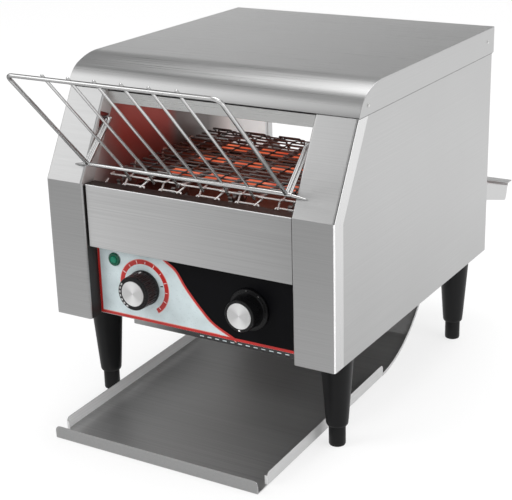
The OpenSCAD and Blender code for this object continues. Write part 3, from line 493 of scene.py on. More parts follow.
def tube(path, radius, up, sides):
    # rings round each path point, where normal = tangent x up and binormal = tangent x normal.
    # path is (n, 3) or (m, n, 3), and the end rings shrink on a quarter circle
    path = np.atleast_3d(np.asarray(path, float)).reshape((-1,) + np.shape(path)[-2:])
    radius = np.broadcast_to(np.asarray(radius, float), (path.shape[1],)).copy()
    tangent = np.gradient(path, axis=1)
    tangent[:, 0], tangent[:, -1] = path[:, 1] - path[:, 0], path[:, -1] - path[:, -2]
    tangent /= np.linalg.norm(tangent, axis=-1, keepdims=True)
    swing = np.radians([88.0, 60.0, 30.0])
    before = path[:, :1] - tangent[:, :1] * (radius[0] * np.sin(swing))[None, :, None]
    after = path[:, -1:] + tangent[:, -1:] * (radius[-1] * np.sin(swing[::-1]))[None, :, None]
    path = np.concatenate([before, path, after], 1)
    tangent = np.concatenate([tangent[:, :1]] * 3 + [tangent] + [tangent[:, -1:]] * 3, 1)
    radius = np.concatenate([radius[0] * np.cos(swing), radius, radius[-1] * np.cos(swing[::-1])])
    normal = np.cross(tangent, np.broadcast_to(np.asarray(up, float), tangent.shape))
    normal /= np.linalg.norm(normal, axis=-1, keepdims=True)
    binormal = np.cross(tangent, normal)
    angle = np.linspace(0.0, 2 * math.pi, sides, endpoint=False)
    ring = normal[..., None, :] * np.cos(angle)[:, None] + binormal[..., None, :] * np.sin(angle)[:, None]
    points = path[..., None, :] + ring * radius[:, None, None]
    count = path.shape[1]
    quads = gridFaces(count, sides, wrapColumns=True)
    lots = np.arange(len(path)) * count * sides
    faces = (quads[None] + lots[:, None, None]).reshape(-1, 4).tolist()
    ends = np.arange(sides)
    for lot in lots:
        faces.append((lot + ends[::-1]).tolist())
        faces.append((lot + (count - 1) * sides + ends).tolist())
    return points.reshape(-1, 3), faces


def bentPath(corners, radius, steps=5):
    # each inner corner becomes a quadratic curve between points a radius before and after it
    corners = np.asarray(corners, float)
    before, corner, after = corners[..., :-2, :], corners[..., 1:-1, :], corners[..., 2:, :]
    inward, onward = before - corner, after - corner
    reachIn = np.minimum(radius, 0.48 * np.linalg.norm(inward, axis=-1))[..., None]
    reachOn = np.minimum(radius, 0.48 * np.linalg.norm(onward, axis=-1))[..., None]
    a = corner + inward / np.linalg.norm(inward, axis=-1, keepdims=True) * reachIn
    b = corner + onward / np.linalg.norm(onward, axis=-1, keepdims=True) * reachOn
    s = np.linspace(0.0, 1.0, steps)[:, None]
    curve = (1 - s) ** 2 * a[..., None, :] + 2 * s * (1 - s) * corner[..., None, :] + s ** 2 * b[..., None, :]
    curve = curve.reshape(corners.shape[:-2] + (-1, 3))
    return np.concatenate([corners[..., :1, :], curve, corners[..., -1:, :]], -2)


def revolve(profile, centre, axis, sides=72, ripple=None):
    # profile rows are (radius, height), and point = centre + axis * height + radius on the circle
    # about axis. ripple(angle, heights) changes the radius
    profile = np.asarray(profile, float)
    axis = np.asarray(axis, float)
    side = np.array([1.0, 0.0, 0.0]) if abs(axis[0]) < 0.9 else np.array([0.0, 1.0, 0.0])
    other = np.cross(axis, side)
    angle = np.linspace(0.0, 2 * math.pi, sides, endpoint=False)
    radius = np.broadcast_to(profile[:, None, 0], (len(profile), sides)).copy()
    if ripple is not None:
        radius += ripple(angle[None, :], profile[:, 1:2])
    ring = side * np.cos(angle)[:, None] + other * np.sin(angle)[:, None]
    points = np.asarray(centre, float) + axis * profile[:, None, 1:2] + ring[None] * radius[..., None]
    return points.reshape(-1, 3), gridFaces(len(profile), sides, wrapColumns=True).tolist()


def prism(outline, x0, x1):
    # a closed outline in the YZ plane carried along X from x0 to x1, with flat ends
    outline = np.asarray(outline, float)
    count = len(outline)
    ends = [np.column_stack([np.full(count, x), outline]) for x in (x0, x1)]
    faces = gridFaces(2, count, wrapColumns=True).tolist()
    faces += [list(range(count))[::-1], list(range(count, 2 * count))]
    return np.concatenate(ends), faces


def rectangle(y0, y1, z0, z1):
    # the four corners of an outline in the YZ plane
    return [(y0, z0), (y1, z0), (y1, z1), (y0, z1)]


sideNames = {-1: "Left", 1: "Right"}


def sidePiece(name, sign, outline, inside, outside, finish, body="housing"):
    # a prism on one side of the machine, between two distances from its middle
    shape = prism(outline, *sorted((sign * inside, sign * outside)))
    makePiece(name + sideNames[sign], shape, finish, body)


def together(parts):
    # several (points, faces) pairs as one
    points, faces, base = [], [], 0
    for p, f in parts:
        points.append(np.asarray(p, float).reshape(-1, 3))
        faces += [[int(k) + base for k in face] for face in f]
        base += len(points[-1])
    return np.concatenate(points), faces


def mirrored(part):
    # the same (points, faces) on the other side, x to -x with each face's order turned round
    points, faces = part
    return np.asarray(points) * np.array([-1.0, 1.0, 1.0]), [f[::-1] for f in faces]


def arcPoints(centre, radius, start, end, count):
    # points on a circle in the YZ plane, angles in degrees from +Y
    a = np.radians(np.linspace(start, end, count))
    return np.column_stack([centre[0] + radius * np.cos(a), centre[1] + radius * np.sin(a)])


# housing sheets

sheets = {
    "side_panel_left": ("side", 0.35), "side_panel_right": ("side", 0.35),
    "column_left": ("front", 0.9), "column_right": ("front", 0.9),
    "front_band": ("band", 0.8), "rear_panel": ("side", 0.3),
    "upper_reflector": ("bar", 0.4), "rear_slide": ("slide", 0.4), "tray": ("tray", 0.4),
    # the heat shield gets the near black painted shade tone
    "base_plate": ("inner", 0.25), "heat_shield": ("shadeDark", 0.25), "return_chute": ("inner", 0.25),
    "tunnel_wall_left": ("wall", 0.2), "tunnel_wall_right": ("wall", 0.2),
    "lower_reflector": ("reflector", 0.25), "control_panel": ("pale", 0.3),
    "gear_motor": ("cast", 1.2), "tube_holders": ("ceramic", 0.5), "shaft_bushes": ("bronze", 0.4),
    "cable_bush": ("rubber", 0.6), "leg_washers": ("inner", 0.3), "casing_screws": ("bar", 0.2),
    "speed_control": ("leg", 0.5), "selector_switch": ("leg", 0.5),
}
skins = {node: softCopy(node, finish, width) for node, (finish, width) in sheets.items()}

# limits in mm of the faces that have another finish than their sheet, as painted light and shade
limits = {
    "stripX": 183.5, "mouthX": 140.0, "mouthZ": 228.0, "bendX": 180.0, "bandBack": 3.0, "lipBack": 26.0,
    "tailFront": 292.0, "noseFront": -110.0, "noseTop": 110.0, "trayLip": -69.0,
}


def outerStrip(c, n):
    # a column's outer side, which gets a lighter tone: painted light
    return (abs(n[0]) > 0.9) & (abs(c[0]) > limits["stripX"])


def mouthReturn(c, n):
    # the side of a column that looks into the mouth, near black below the band's top: painted shade
    return (abs(n[0]) > 0.9) & (abs(c[0]) < limits["mouthX"]) & (c[2] > limits["mouthZ"])


def atBend(c, n, low, high):
    # faces on the right column's outer bend whose normal's x lies between low and high, for a painted shade
    # line and painted highlights
    return (n[0] > low) & (n[0] < high) & (c[0] > limits["bendX"])


def trayEdge(c, n):
    # the tray's upright sides and the front of its nose, which get a lighter tone: painted light
    nose = (n[1] < -0.9) & (c[2] < limits["noseTop"]) & (c[1] > limits["noseFront"])
    return (abs(n[0]) > 0.7) | nose


# painted light and shade: lighter outer strips, shade on mouth returns and the base lip, bend and band
# highlights, tray tones
faceFinishes = [
    ("column_left", "strip", outerStrip), ("column_right", "strip", outerStrip),
    ("column_left", "return", mouthReturn), ("column_right", "return", mouthReturn),
    # a painted shade line and painted highlights on the right column's bend
    ("column_right", "shadeLine", lambda c, n: atBend(c, n, 0.5, 0.88) & (n[2] > 0.1)),
    ("column_right", "edge", lambda c, n: atBend(c, n, 0.6, 0.88) & (n[2] < 0.05)),
    ("column_right", "edge", lambda c, n: atBend(c, n, 0.88, 0.985)),
    # a painted highlight on the band's top bevel, and painted shade on its top flange
    ("front_band", "edge", lambda c, n: (n[2] > 0.2) & (n[1] < -0.2)),
    ("front_band", "shadeDark", lambda c, n: (abs(n[2]) > 0.97) & (c[1] > limits["bandBack"])),
    ("tray", "tail", lambda c, n: c[1] > limits["tailFront"]),
    ("tray", "flange", trayEdge),
    ("tray", "flangeOuter", lambda c, n: (n[0] > 0.7) & (c[0] > 0.0)),
    ("tray", "lip", lambda c, n: (c[1] < limits["trayLip"]) & (abs(n[2]) < 0.5)),
    ("base_plate", "baseLipPaintedShade", lambda c, n: c[1] < limits["lipBack"]),
]
for node, finish, test in faceFinishes:
    paintFaces(skins[node], finish, test)
machinedNodes = ["drive_shaft", "drive_sprockets", "idler_shaft", "idler_sprockets", "chain_wheel",
                 "motor_wheel", "drive_chain", "speed_spindle", "selector_spindle"]
for node in machinedNodes:
    nodes[node].data.materials.clear()
    nodes[node].data.materials.append(paint["machined"])
print("sheets and drive finished")

hoodShape = {
    "halfWidth": 185.5, "sheet": 1.2, "back": 425.5, "top": 408.3, "edge": 376.5,
    "rollCentre": (110.77, 318.3), "roll": 90.0, "rollAngle": 25.0,
    "nose": 36.0, "noseAngle": 45.0, "lip": 2.4,
    "cheekGap": 0.25, "rearGap": 0.1, "inset": 0.2, "bevel": 0.5,
}


def hoodSkin(h):
    # skin outline: flat top, two arcs, a short lip, and the same line one sheet further in
    knee = 90.0 + h["rollAngle"]
    turn = knee + h["noseAngle"]
    noseCentre = arcPoints(h["rollCentre"], h["roll"] - h["nose"], knee, knee, 1)[0]
    direction = np.array([math.cos(math.radians(turn + 90)), math.sin(math.radians(turn + 90))])

    def line(inset):
        roll = arcPoints(h["rollCentre"], h["roll"] - inset, 90.0, knee, 8)
        nose = arcPoints(noseCentre, h["nose"] - inset, knee, turn, 16)[1:]
        corner, tip = [h["back"] - inset, h["top"] - inset], nose[-1] + direction * h["lip"]
        return np.concatenate([[corner], roll, nose, [tip]])

    outer, inner = line(0.0), line(h["sheet"])
    skin = prism(np.concatenate([outer, inner[::-1]]), -h["halfWidth"], h["halfWidth"])
    cheek = line(h["cheekGap"])
    cheek[-1] = cheek[-1] + (0.3, -0.2)
    foot = [[cheek[-1, 0] + h["sheet"], h["edge"]], [h["back"] - h["inset"], h["edge"]]]
    side = prism(np.concatenate([cheek, foot]), h["halfWidth"] - h["sheet"], h["halfWidth"])
    rearWidth = h["halfWidth"] - h["rearGap"]
    outline = rectangle(h["back"] - h["sheet"], h["back"], h["edge"], h["top"] - h["inset"])
    shape = together([skin, side, mirrored(side), prism(outline, -rearWidth, rearWidth)])
    return soften(makePiece("hoodSkin", shape, "hood", "housing", ["hood"], smooth=20.0), h["bevel"], 3)


paintFaces(hoodSkin(hoodShape), "side", lambda c, n: abs(n[0]) > 0.9)
# a thin dark strip under each hood cheek: painted shade where the cheek meets the side panel
shadeLine = {"inside": 183.8, "outside": 184.5, "low": 375.4, "high": 376.6, "front": 56.0, "back": 424.0}
for sign in (-1, 1):
    outline = rectangle(shadeLine["front"], shadeLine["back"], shadeLine["low"], shadeLine["high"])
    sidePiece("hoodShadeLine", sign, outline, shadeLine["inside"], shadeLine["outside"], "fineShadeLine")
print("hood made")

# belt: strands of flat-flex wire round two equal wheels

belt = {
    "pitch": 12.7, "span": 16, "teeth": 12, "spaces": 10, "halfWidth": 124.0,
    "front": 50.5345, "shaftZ": 258.465, "wire": 1.1, "rise": 1.0, "bend": 2.2, "hook": 2.6,
    "past": 0.16, "phase": 0.36, "endStart": 0.45, "endStop": 0.55,  # parts of a pitch
}


def beltStrands(b):
    # the path's corners lie on the wheels' pitch circles and the lines between them. A strand
    # swings between two corners, space by space, and hooks past its neighbour
    pitchRadius = b["pitch"] / (2 * math.sin(math.pi / b["teeth"]))
    span, teeth = b["span"], b["teeth"]
    turns = np.radians((np.arange(teeth // 2) + b["phase"]) * 360.0 / teeth)
    rows = np.arange(span) + b["phase"]
    top = np.column_stack([rows * b["pitch"], np.full(span, pitchRadius)])
    rear = np.column_stack([span * b["pitch"] + pitchRadius * np.sin(turns), pitchRadius * np.cos(turns)])
    under = np.column_stack([(span - rows) * b["pitch"], np.full(span, -pitchRadius)])
    front = np.column_stack([-pitchRadius * np.sin(turns), -pitchRadius * np.cos(turns)])
    corners = np.concatenate([top, rear, under, front]) + (b["front"], b["shaftZ"])
    start, end = corners, np.roll(corners, -1, 0)
    along = end - start
    along /= np.linalg.norm(along, axis=1, keepdims=True)
    out = np.column_stack([-along[:, 1], along[:, 0]])
    space = 2 * b["halfWidth"] / b["spaces"]
    k = np.arange(b["spaces"])
    lateral = np.stack([k * space - b["hook"], (k + 1) * space + b["hook"]], 1)
    lateral[0, 0], lateral[-1, 1] = 0.0, 2 * b["halfWidth"]
    x = lateral.reshape(-1) - b["halfWidth"]
    step = np.repeat(k % 2, 2) * (1.0 + 2 * b["past"]) - b["past"]
    x = np.concatenate([[x[0]], x, [x[-1]]])
    step = np.concatenate([[b["endStart"]], step, [b["endStop"]]])  # the ends turn back along the belt
    high = b["rise"] * (1 - 2 * step)
    onward, outward = (step * b["pitch"])[None, :, None], high[None, :, None]
    yz = start[:, None] + along[:, None] * onward + out[:, None] * outward
    path = np.concatenate([np.broadcast_to(x[None, :, None], yz.shape[:2] + (1,)), yz], -1)
    normal = np.concatenate([np.zeros((len(out), 1)), out], 1)
    path = bentPath(path, b["bend"], 4)
    up = np.broadcast_to(normal[:, None], (len(path), path.shape[1] + 6, 3))
    shape = tube(path, b["wire"], up, 8)
    makePiece("beltStrands", shape, "belt", "housing", ["wire_belt"], weld=False, smooth=60.0)


beltStrands(belt)
print("belt made")

# rolled edge of the tray's curved tail, in a lighter tone: painted highlight

tail = {"front": -78.2, "tilt": 1.7, "centre": (295.2, 151.2), "inner": 147.8, "outer": 151.3,
        "from": -88.0, "to": -20.2, "inside": 133.2, "outside": 134.0}


def tailRim(t, sign):
    # a band between two arcs, turned with the tray's tilt about its front edge
    tilt = math.radians(t["tilt"])
    band = np.concatenate([arcPoints(t["centre"], t["outer"], t["from"], t["to"], 30),
                           arcPoints(t["centre"], t["inner"], t["to"], t["from"], 30)])
    turned = np.column_stack([band[:, 0] * math.cos(tilt) - band[:, 1] * math.sin(tilt) + t["front"],
                              band[:, 0] * math.sin(tilt) + band[:, 1] * math.cos(tilt)])
    sidePiece("tailRim", sign, turned, t["inside"], t["outside"], "flangeOuter", "crumb_tray")


for sign in (-1, 1):
    tailRim(tail, sign)
print("tray edges made")

# infeed rack

rack = {
    "halfWidth": 126.7, "foot": (5.207, 303.1), "lean": 43.8, "length": 172.0, "hook": (50.404, 345.247),
    "frameWire": 2.25, "footWire": 2.07, "innerWire": 1.55, "tipWire": (2.05, 1.5, 0.85),
    "count": 6, "pitch": 32.0, "over": 2.4, "nub": 2.7, "tail": 21.0, "tailTurn": 9.0, "bowStart": 2.0,
    "twin": 4.3, "peg": 137.1, "tip": (146.9, 8.9, 299.6), "legUp": (0.55, 0.5, -0.62),
    "cornerBend": 9.0, "legBend": 5.0, "innerBend": 4.0, "tailBend": 6.0,
}


def infeedRack(r):
    # a bent frame, a straight foot wire, two double legs with pointed ends, and the inner wires
    lean, slant = math.radians(r["lean"]), math.radians(r["lean"] - r["tailTurn"])
    foot, hook = np.array([0.0, *r["foot"]]), np.array([0.0, *r["hook"]])
    uphill = np.array([0.0, -math.sin(lean), math.cos(lean)])
    tailward = np.array([0.0, -math.sin(slant), math.cos(slant)])
    top = foot + uphill * r["length"]
    side = np.array([1.0, 0.0, 0.0])
    plane = np.cross(side, uphill)
    x, wire = r["halfWidth"], r["frameWire"]
    start = foot + uphill * r["bowStart"]
    bow = [start - side * x, top - side * x, top + side * x, start + side * x]
    ends = side * (x + r["twin"])
    parts = [tube(bentPath(bow, r["cornerBend"], 9), wire, plane, 16),
             tube([foot - ends, foot + ends], r["footWire"], plane, 16)]
    for s in (-1, 1):
        root, out = foot + side * s * x, side * s * (x + r["twin"])
        leg = [root, hook + side * s * x, np.array([s * r["peg"], *r["hook"]])]
        inner = [foot + out, hook + out, hook + side * s * (x - 1)]
        legUp = np.array(r["legUp"]) * (s, 1, 1)
        parts.append(tube(bentPath(leg, r["legBend"], 6), wire, legUp, 14))
        parts.append(tube(bentPath(inner, r["innerBend"], 6), r["innerWire"], legUp, 12))
        tip = np.array([s * r["tip"][0], *r["tip"][1:]])
        parts.append(tube([root, root + (tip - root) * 0.6, tip], r["tipWire"], plane, 14))
    for i in range(r["count"]):
        middle = side * (i - (r["count"] - 1) / 2) * r["pitch"]
        line = [foot - tailward * r["tail"] + middle, foot + middle,
                foot + uphill * (r["length"] + r["nub"]) + middle]
        path = bentPath(np.array(line) - plane * r["over"], r["tailBend"], 4)
        parts.append(tube(path, r["innerWire"], side, 12))
    makePiece("rackWires", together(parts), "wire", "rack", ["infeed_rack"], weld=False, smooth=60.0)


infeedRack(rack)
print("rack made")

# heaters

heaters = {
    "tubeRadius": 5.0, "end": 145.7,
    "lower": [(108.0, 273.8), (166.0, 273.8), (224.0, 273.8)],
    "upper": [(96.0, 364.4), (166.0, 364.4), (236.0, 364.4), (306.0, 364.4)],
}


def quartzTubes(name, places, h, node):
    # straight tubes along X with softly rounded ends
    r, e = h["tubeRadius"], h["end"]
    half = [(0.0, e), (r * 0.7, e), (r, e - 1.4), (r, e - 20)]
    profile = [(radius, -along) for radius, along in half] + half[::-1]
    parts = [revolve(profile, (0.0, y, z), (1.0, 0.0, 0.0), 28) for y, z in places]
    makePiece(name, together(parts), "tubes", "housing", [node])


quartzTubes("lowerTubes", heaters["lower"], heaters, "lower_quartz_tubes")
quartzTubes("upperTubes", heaters["upper"], heaters, "upper_quartz_tubes")
print("heaters made")

# legs and feet

legs = {
    "x": 156.0, "frontY": 58.0, "rearY": 388.0, "top": 114.0, "topRadius": 19.0, "footRadius": 12.6,
    "bore": 5.05, "footHeight": 25.0, "screwFoot": 9.6, "stem": 5.0, "stemTop": 67.0,
    "places": {"Fl": ("front_left", -1, "frontY"), "Fr": ("front_right", 1, "frontY"),
               "Rl": ("rear_left", -1, "rearY"), "Rr": ("rear_right", 1, "rearY")},
}


def legAndFoot(which, g):
    # a tapered leg with a rounded top, and a screw foot whose stem runs up inside it
    corner, sign, depth = g["places"][which]
    place, upright = (sign * g["x"], g[depth], 0.0), (0.0, 0.0, 1.0)
    h, bore, low, high, top = g["footHeight"], g["bore"], g["footRadius"], g["topRadius"], g["top"]
    leg = [(bore, h), (low - 2.0, h), (low - 0.9, h + 0.35), (low - 0.3, h + 1.4), (low, h + 2.8),
           (low + 0.1, h + 4.2), (low + 0.5, h + 8.0), (high - 0.35, top - 6.0), (high, top - 2.4),
           (high - 0.2, top - 0.9), (high - 1.0, top), (bore, top), (bore, h)]
    shape = revolve(leg, place, upright, 64)
    makePiece("leg" + which, shape, "leg", "housing", ["leg_" + corner], smooth=30.0)
    r, stem, end = g["screwFoot"], g["stem"], g["stemTop"]
    foot = [(0.0, 0.6), (r - 4.0, 0.4), (r - 3.2, 0.0), (r - 1.6, 0.05), (r - 0.5, 0.6), (r - 0.05, 1.8),
            (r, 3.2), (r, h - 1.2), (r - 0.3, h - 0.5), (r - 0.9, h - 0.3), (stem, h - 0.3),
            (stem, end - 0.6), (stem - 0.6, end), (0.0, end)]
    shape = revolve(foot, place, upright, 56)
    makePiece("foot" + which, shape, "leg", "foot_" + which.lower(), ["foot_" + corner], smooth=30.0)


for which in legs["places"]:
    legAndFoot(which, legs)
print("legs made")

# knobs

knobs = {
    "panel": 20.0, "z": 160.5, "length": 23.5, "cap": 14.9, "spindle": 3.05, "grooveDepth": 0.75,
    "speed": {"node": "speed", "x": -70.0, "base": 21.0, "shoulder": 20.4, "front": 20.0, "flutes": 30},
    "heat": {"node": "selector", "x": 70.0, "base": 24.0, "shoulder": 19.5, "front": 18.3, "flutes": 0},
    "pointer": {"half": 2.4, "low": 5.2, "high": 9.0, "radius": 20.52, "thick": 0.4},  # degrees and mm
}
outward = (0.0, -1.0, 0.0)  # out of the panel


def knobBody(dial, k):
    # profile from the hollow back over the skirt and grip to the recess for the cap
    d, n, cap, bore = k[dial], k["length"], k["cap"], k["spindle"]
    base, shoulder, front = d["base"], d["shoulder"], d["front"]
    grip = np.linspace(0.0, 1.0, 9)
    slope = [(shoulder + (front - shoulder) * t, 4.6 + (n - 4.6 - 3.0) * t) for t in grip]
    skirt = [(bore, n - 3.5), (bore, 4.0), (9.0, 4.0), (base - 3.0, 0.6), (base - 0.5, 0.5), (base, 0.9),
             (base, 2.9), (base - 0.35, 3.35), (shoulder + 0.5, 3.6), (shoulder + 0.1, 4.0)]
    ring = [(front, n - 2.2), (front - 0.15, n - 0.9), (front - 0.7, n - 0.2), (front - 1.4, n),
            (cap + 0.8, n), (cap + 0.1, n - 0.6), (cap + 0.05, n - 1.2), (0.0, n - 1.2), (0.0, n - 3.5),
            (bore, n - 3.5)]

    def ripple(angle, height):
        # half-round grooves that run out before the skirt and the front ring
        inside = np.clip((height - 4.4) / 1.2, 0, 1) * np.clip((n - 3.4 - height) / 1.4, 0, 1)
        wave = (1 + np.cos(angle * d["flutes"])) / 2
        return -k["grooveDepth"] * inside * np.clip(1.0 - 2.2 * wave, 0, 1) ** 0.6

    place, profile = (d["x"], k["panel"], k["z"]), skirt + slope + ring
    shape = revolve(profile, place, outward, *((360, ripple) if d["flutes"] else (96, None)))
    makePiece(dial + "KnobBody", shape, "knob", dial + "_dial", [d["node"] + "_knob"], smooth=32.0)


def knobCap(dial, k):
    # a thin turned disc with a rounded rim, domed a little
    d, n, cap = k[dial], k["length"], k["cap"]
    profile = [(0.0, n - 1.15), (cap, n - 1.15), (cap, n - 0.2), (cap - 0.2, n + 0.05), (cap - 0.6, n + 0.15),
               (cap * 0.5, n + 0.05), (0.0, n)]
    shape = revolve(profile, (d["x"], k["panel"], k["z"]), outward, 96)
    makePiece(dial + "KnobCap", shape, dial + "Cap", dial + "_dial", [d["node"] + "_cap"], smooth=30.0)


def sideMark(name, dial, k, m):
    # a painted mark at the top of a knob's grip: a small closed patch just outside its surface
    turns = np.radians(np.linspace(-m["half"], m["half"], 5))
    turn, along = np.meshgrid(turns, np.linspace(m["low"], m["high"], 5))

    def shell(radius):
        place = [k[dial]["x"] + radius * np.sin(turn), k["panel"] - along, k["z"] + radius * np.cos(turn)]
        return np.stack(place, -1)

    points = [shell(m["radius"]), shell(m["radius"] - m["thick"])]
    quads = gridFaces(5, 5)
    grid = np.arange(turn.size).reshape(turn.shape)
    edge = [*grid[0], *grid[1:, -1], *grid[-1, -2::-1], *grid[-2:0:-1, 0]]  # once round the patch
    rim = [[edge[i], edge[i - 1], edge[i - 1] + turn.size, edge[i] + turn.size] for i in range(len(edge))]
    faces = quads.tolist() + (quads[:, ::-1] + turn.size).tolist() + rim
    makePiece(name, (points, faces), "mark", dial + "_dial")


for dial in ("speed", "heat"):
    knobBody(dial, knobs)
for dial in ("speed", "heat"):
    knobCap(dial, knobs)
sideMark("speedPointer", "speed", knobs, knobs["pointer"])

# pilot lamp

lamp = {
    "x": -110.0, "z": 188.0, "panel": 20.0, "rim": 8.0, "lens": 4.6, "neck": 5.45, "root": -8.0, "dome": 2.2,
}


def pilotLamp(m):
    # a turned rim round a lens with a domed end, heights counted from the panel
    place, r, lens, root = (m["x"], m["panel"], m["z"]), m["rim"], m["lens"], m["root"]
    rim = [(lens, root), (m["neck"], root), (m["neck"], -0.2), (r - 0.3, 0.0), (r, 0.4), (r - 0.15, 1.4),
           (r - 1.0, 2.1), (lens + 1.0, 2.3), (lens + 0.2, 2.0), (lens, 1.2), (lens, root)]
    makePiece("lampRim", revolve(rim, place, outward, 64), "lampRim", "housing", ["lamp_bezel"], smooth=30.0)
    r = lens - 0.05
    bow = [(r * math.cos(a), 2.0 + m["dome"] * math.sin(a)) for a in np.radians([15, 30, 45, 60, 75])]
    dome = [(0.0, root), (r, root), (r, 2.0)] + bow + [(0.0, 2.0 + m["dome"])]
    makePiece("lampDome", revolve(dome, place, outward, 48), "lamp", "housing", ["lamp_lens"], smooth=40.0)


pilotLamp(lamp)
print("knobs and lamp made")

# pale plates behind the vent slots in the base's front lip: painted light seen through the slots

vents = {
    "first": 2.0, "step": 10.0, "count": 12, "width": 5.4, "low": 114.4, "high": 115.5,
    "front": 21.6, "back": 22.3,
}
slot = rectangle(vents["front"], vents["back"], vents["low"], vents["high"])
starts = vents["first"] + vents["step"] * np.arange(vents["count"])
ventLights = together([prism(slot, x, x + vents["width"]) for x in starts])
makePiece("ventPaintedLight", ventLights, "pale", "housing")
print("vents made")


def flatPatch(name, left, right, front, finish, body="housing", thick=0.06):
    # a thin film between two point rows (x, z) at depth front, with its back and edges closed
    left, right = np.asarray(left, float), np.asarray(right, float)
    count = len(left)
    rows = [(row, y) for y in (front, front + thick) for row in (left, right)]
    points = np.concatenate([np.column_stack([row[:, 0], np.full(count, y), row[:, 1]]) for row, y in rows])
    a = np.arange(count - 1)
    quads = [np.stack([a, a + 1, a + 1 + count, a + count], 1),
             np.stack([a + 2 * count, a + 3 * count, a + 1 + 3 * count, a + 1 + 2 * count], 1),
             np.stack([a, a + 2 * count, a + 1 + 2 * count, a + 1], 1),
             np.stack([a + count, a + 1 + count, a + 1 + 3 * count, a + 3 * count], 1)]
    faces = np.concatenate(quads).tolist()
    faces += [[0, count, 3 * count, 2 * count], [count - 1, 3 * count - 1, 4 * count - 1, 2 * count - 1]]
    makePiece(name, (points, faces), finish, body)


# painted highlight along the band's top edge, plates with a painted red glow behind the hook slots, and
# pale plates that glow behind the gaps between the tunnel walls and the rear window's frame: painted light

trim = {
    "edgeHeight": 0.95, "edgeDrop": 0.02, "edgeProud": 0.04, "edgeShort": 0.3, "sheet": 0.4,
    "slot": [(36.0, 330.0), (75.0, 330.0), (75.0, 364.0), (52.0, 364.0)], "slotX": 141.5,
    "gap": rectangle(404.5, 418.0, 228.0, 350.0), "gapX": 136.9,
}


def bandTrim(t):
    # all of it is thin: a film along the band's crest as a painted highlight, and two plates on each side
    # that glow as painted light
    low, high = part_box("front_band")
    crest, end, face = high[2] * 1000.0, high[0] * 1000.0 - t["edgeShort"], (low[1] - faceY) * 1000.0
    foot, top = crest - t["edgeHeight"], crest - t["edgeDrop"]
    front = face - t["edgeProud"]
    flatPatch("bandEdge", [(-end, foot), (end, foot)], [(-end, top), (end, top)], front, "edge")
    for sign in (-1, 1):
        sidePiece("slotPlate", sign, t["slot"], t["slotX"], t["slotX"] + t["sheet"], "slotPaintedGlow")
        sidePiece("gapLight", sign, t["gap"], t["gapX"], t["gapX"] + t["sheet"], "gapLight")


bandTrim(trim)

# printed panel

panelArt = {
    "front": 19.95, "left": -134.2, "right": 134.2, "bottom": 118.6, "top": 214.0, "border": 3.2,
    "wave": [(-60.0, 214.0), (-39.5, 198.1), (-25.3, 188.1), (-12.9, 170.0), (6.0, 148.3), (22.5, 133.4),
             (46.2, 121.9), (52.0, 118.6)],
    "waveWidth": 2.6, "roseEnd": 30.0, "roseWidth": 0.8,
    "scaleInner": 27.9, "scaleOuter": 33.2, "scaleFrom": -118.0, "scaleTo": 148.0, "scaleEdge": 0.7,
    "ticks": 12, "tickLong": (28.4, 32.6), "tickShort": (28.6, 31.4), "tickHalf": 0.35,
    "index": ((76.5, 79.5), (22.6, 26.6)), "pointer": ((176.0, 184.0), (15.8, 17.4)),  # turns and radii
    "glints": 7, "glintFrom": 203.0, "glintStep": 16.0, "glintTurn": 9.0, "glintRadii": (16.4, 18.3),
    "collars": (-8.0, 34.0), "collarTurn": 4.0, "collarRadii": (21.4, 22.8), "collarDepth": 3.75,
    "layers": {"film": 0.0, "low": 0.02, "middle": 0.03, "high": 0.05, "top": 0.06},  # before the film
}


def ringMark(name, dial, k, turns, radii, front, finish, body="housing", count=6):
    # a flat piece of a ring round a dial's axis, between two angles clockwise from the top
    a = np.radians(np.linspace(*turns, count))
    ring, centre = np.column_stack([np.sin(a), np.cos(a)]), np.array([k[dial]["x"], k["z"]])
    flatPatch(name, centre + ring * radii[1], centre + ring * radii[0], front, finish, body)


def smoothCurve(points, count):
    # Catmull-Rom spline through the points, sampled evenly in its parameter
    p = np.asarray(points, float)
    p = np.concatenate([[2 * p[0] - p[1]], p, [2 * p[-1] - p[-2]]])
    u = np.linspace(0.0, len(p) - 3 - 1e-9, count)
    i = u.astype(int)
    t = (u - i)[:, None]
    a, b, c, d = p[i], p[i + 1], p[i + 2], p[i + 3]
    square, cube = 2 * a - 5 * b + 4 * c - d, 3 * b - a - 3 * c + d
    return 0.5 * (2 * b + (c - a) * t + square * t ** 2 + cube * t ** 3)


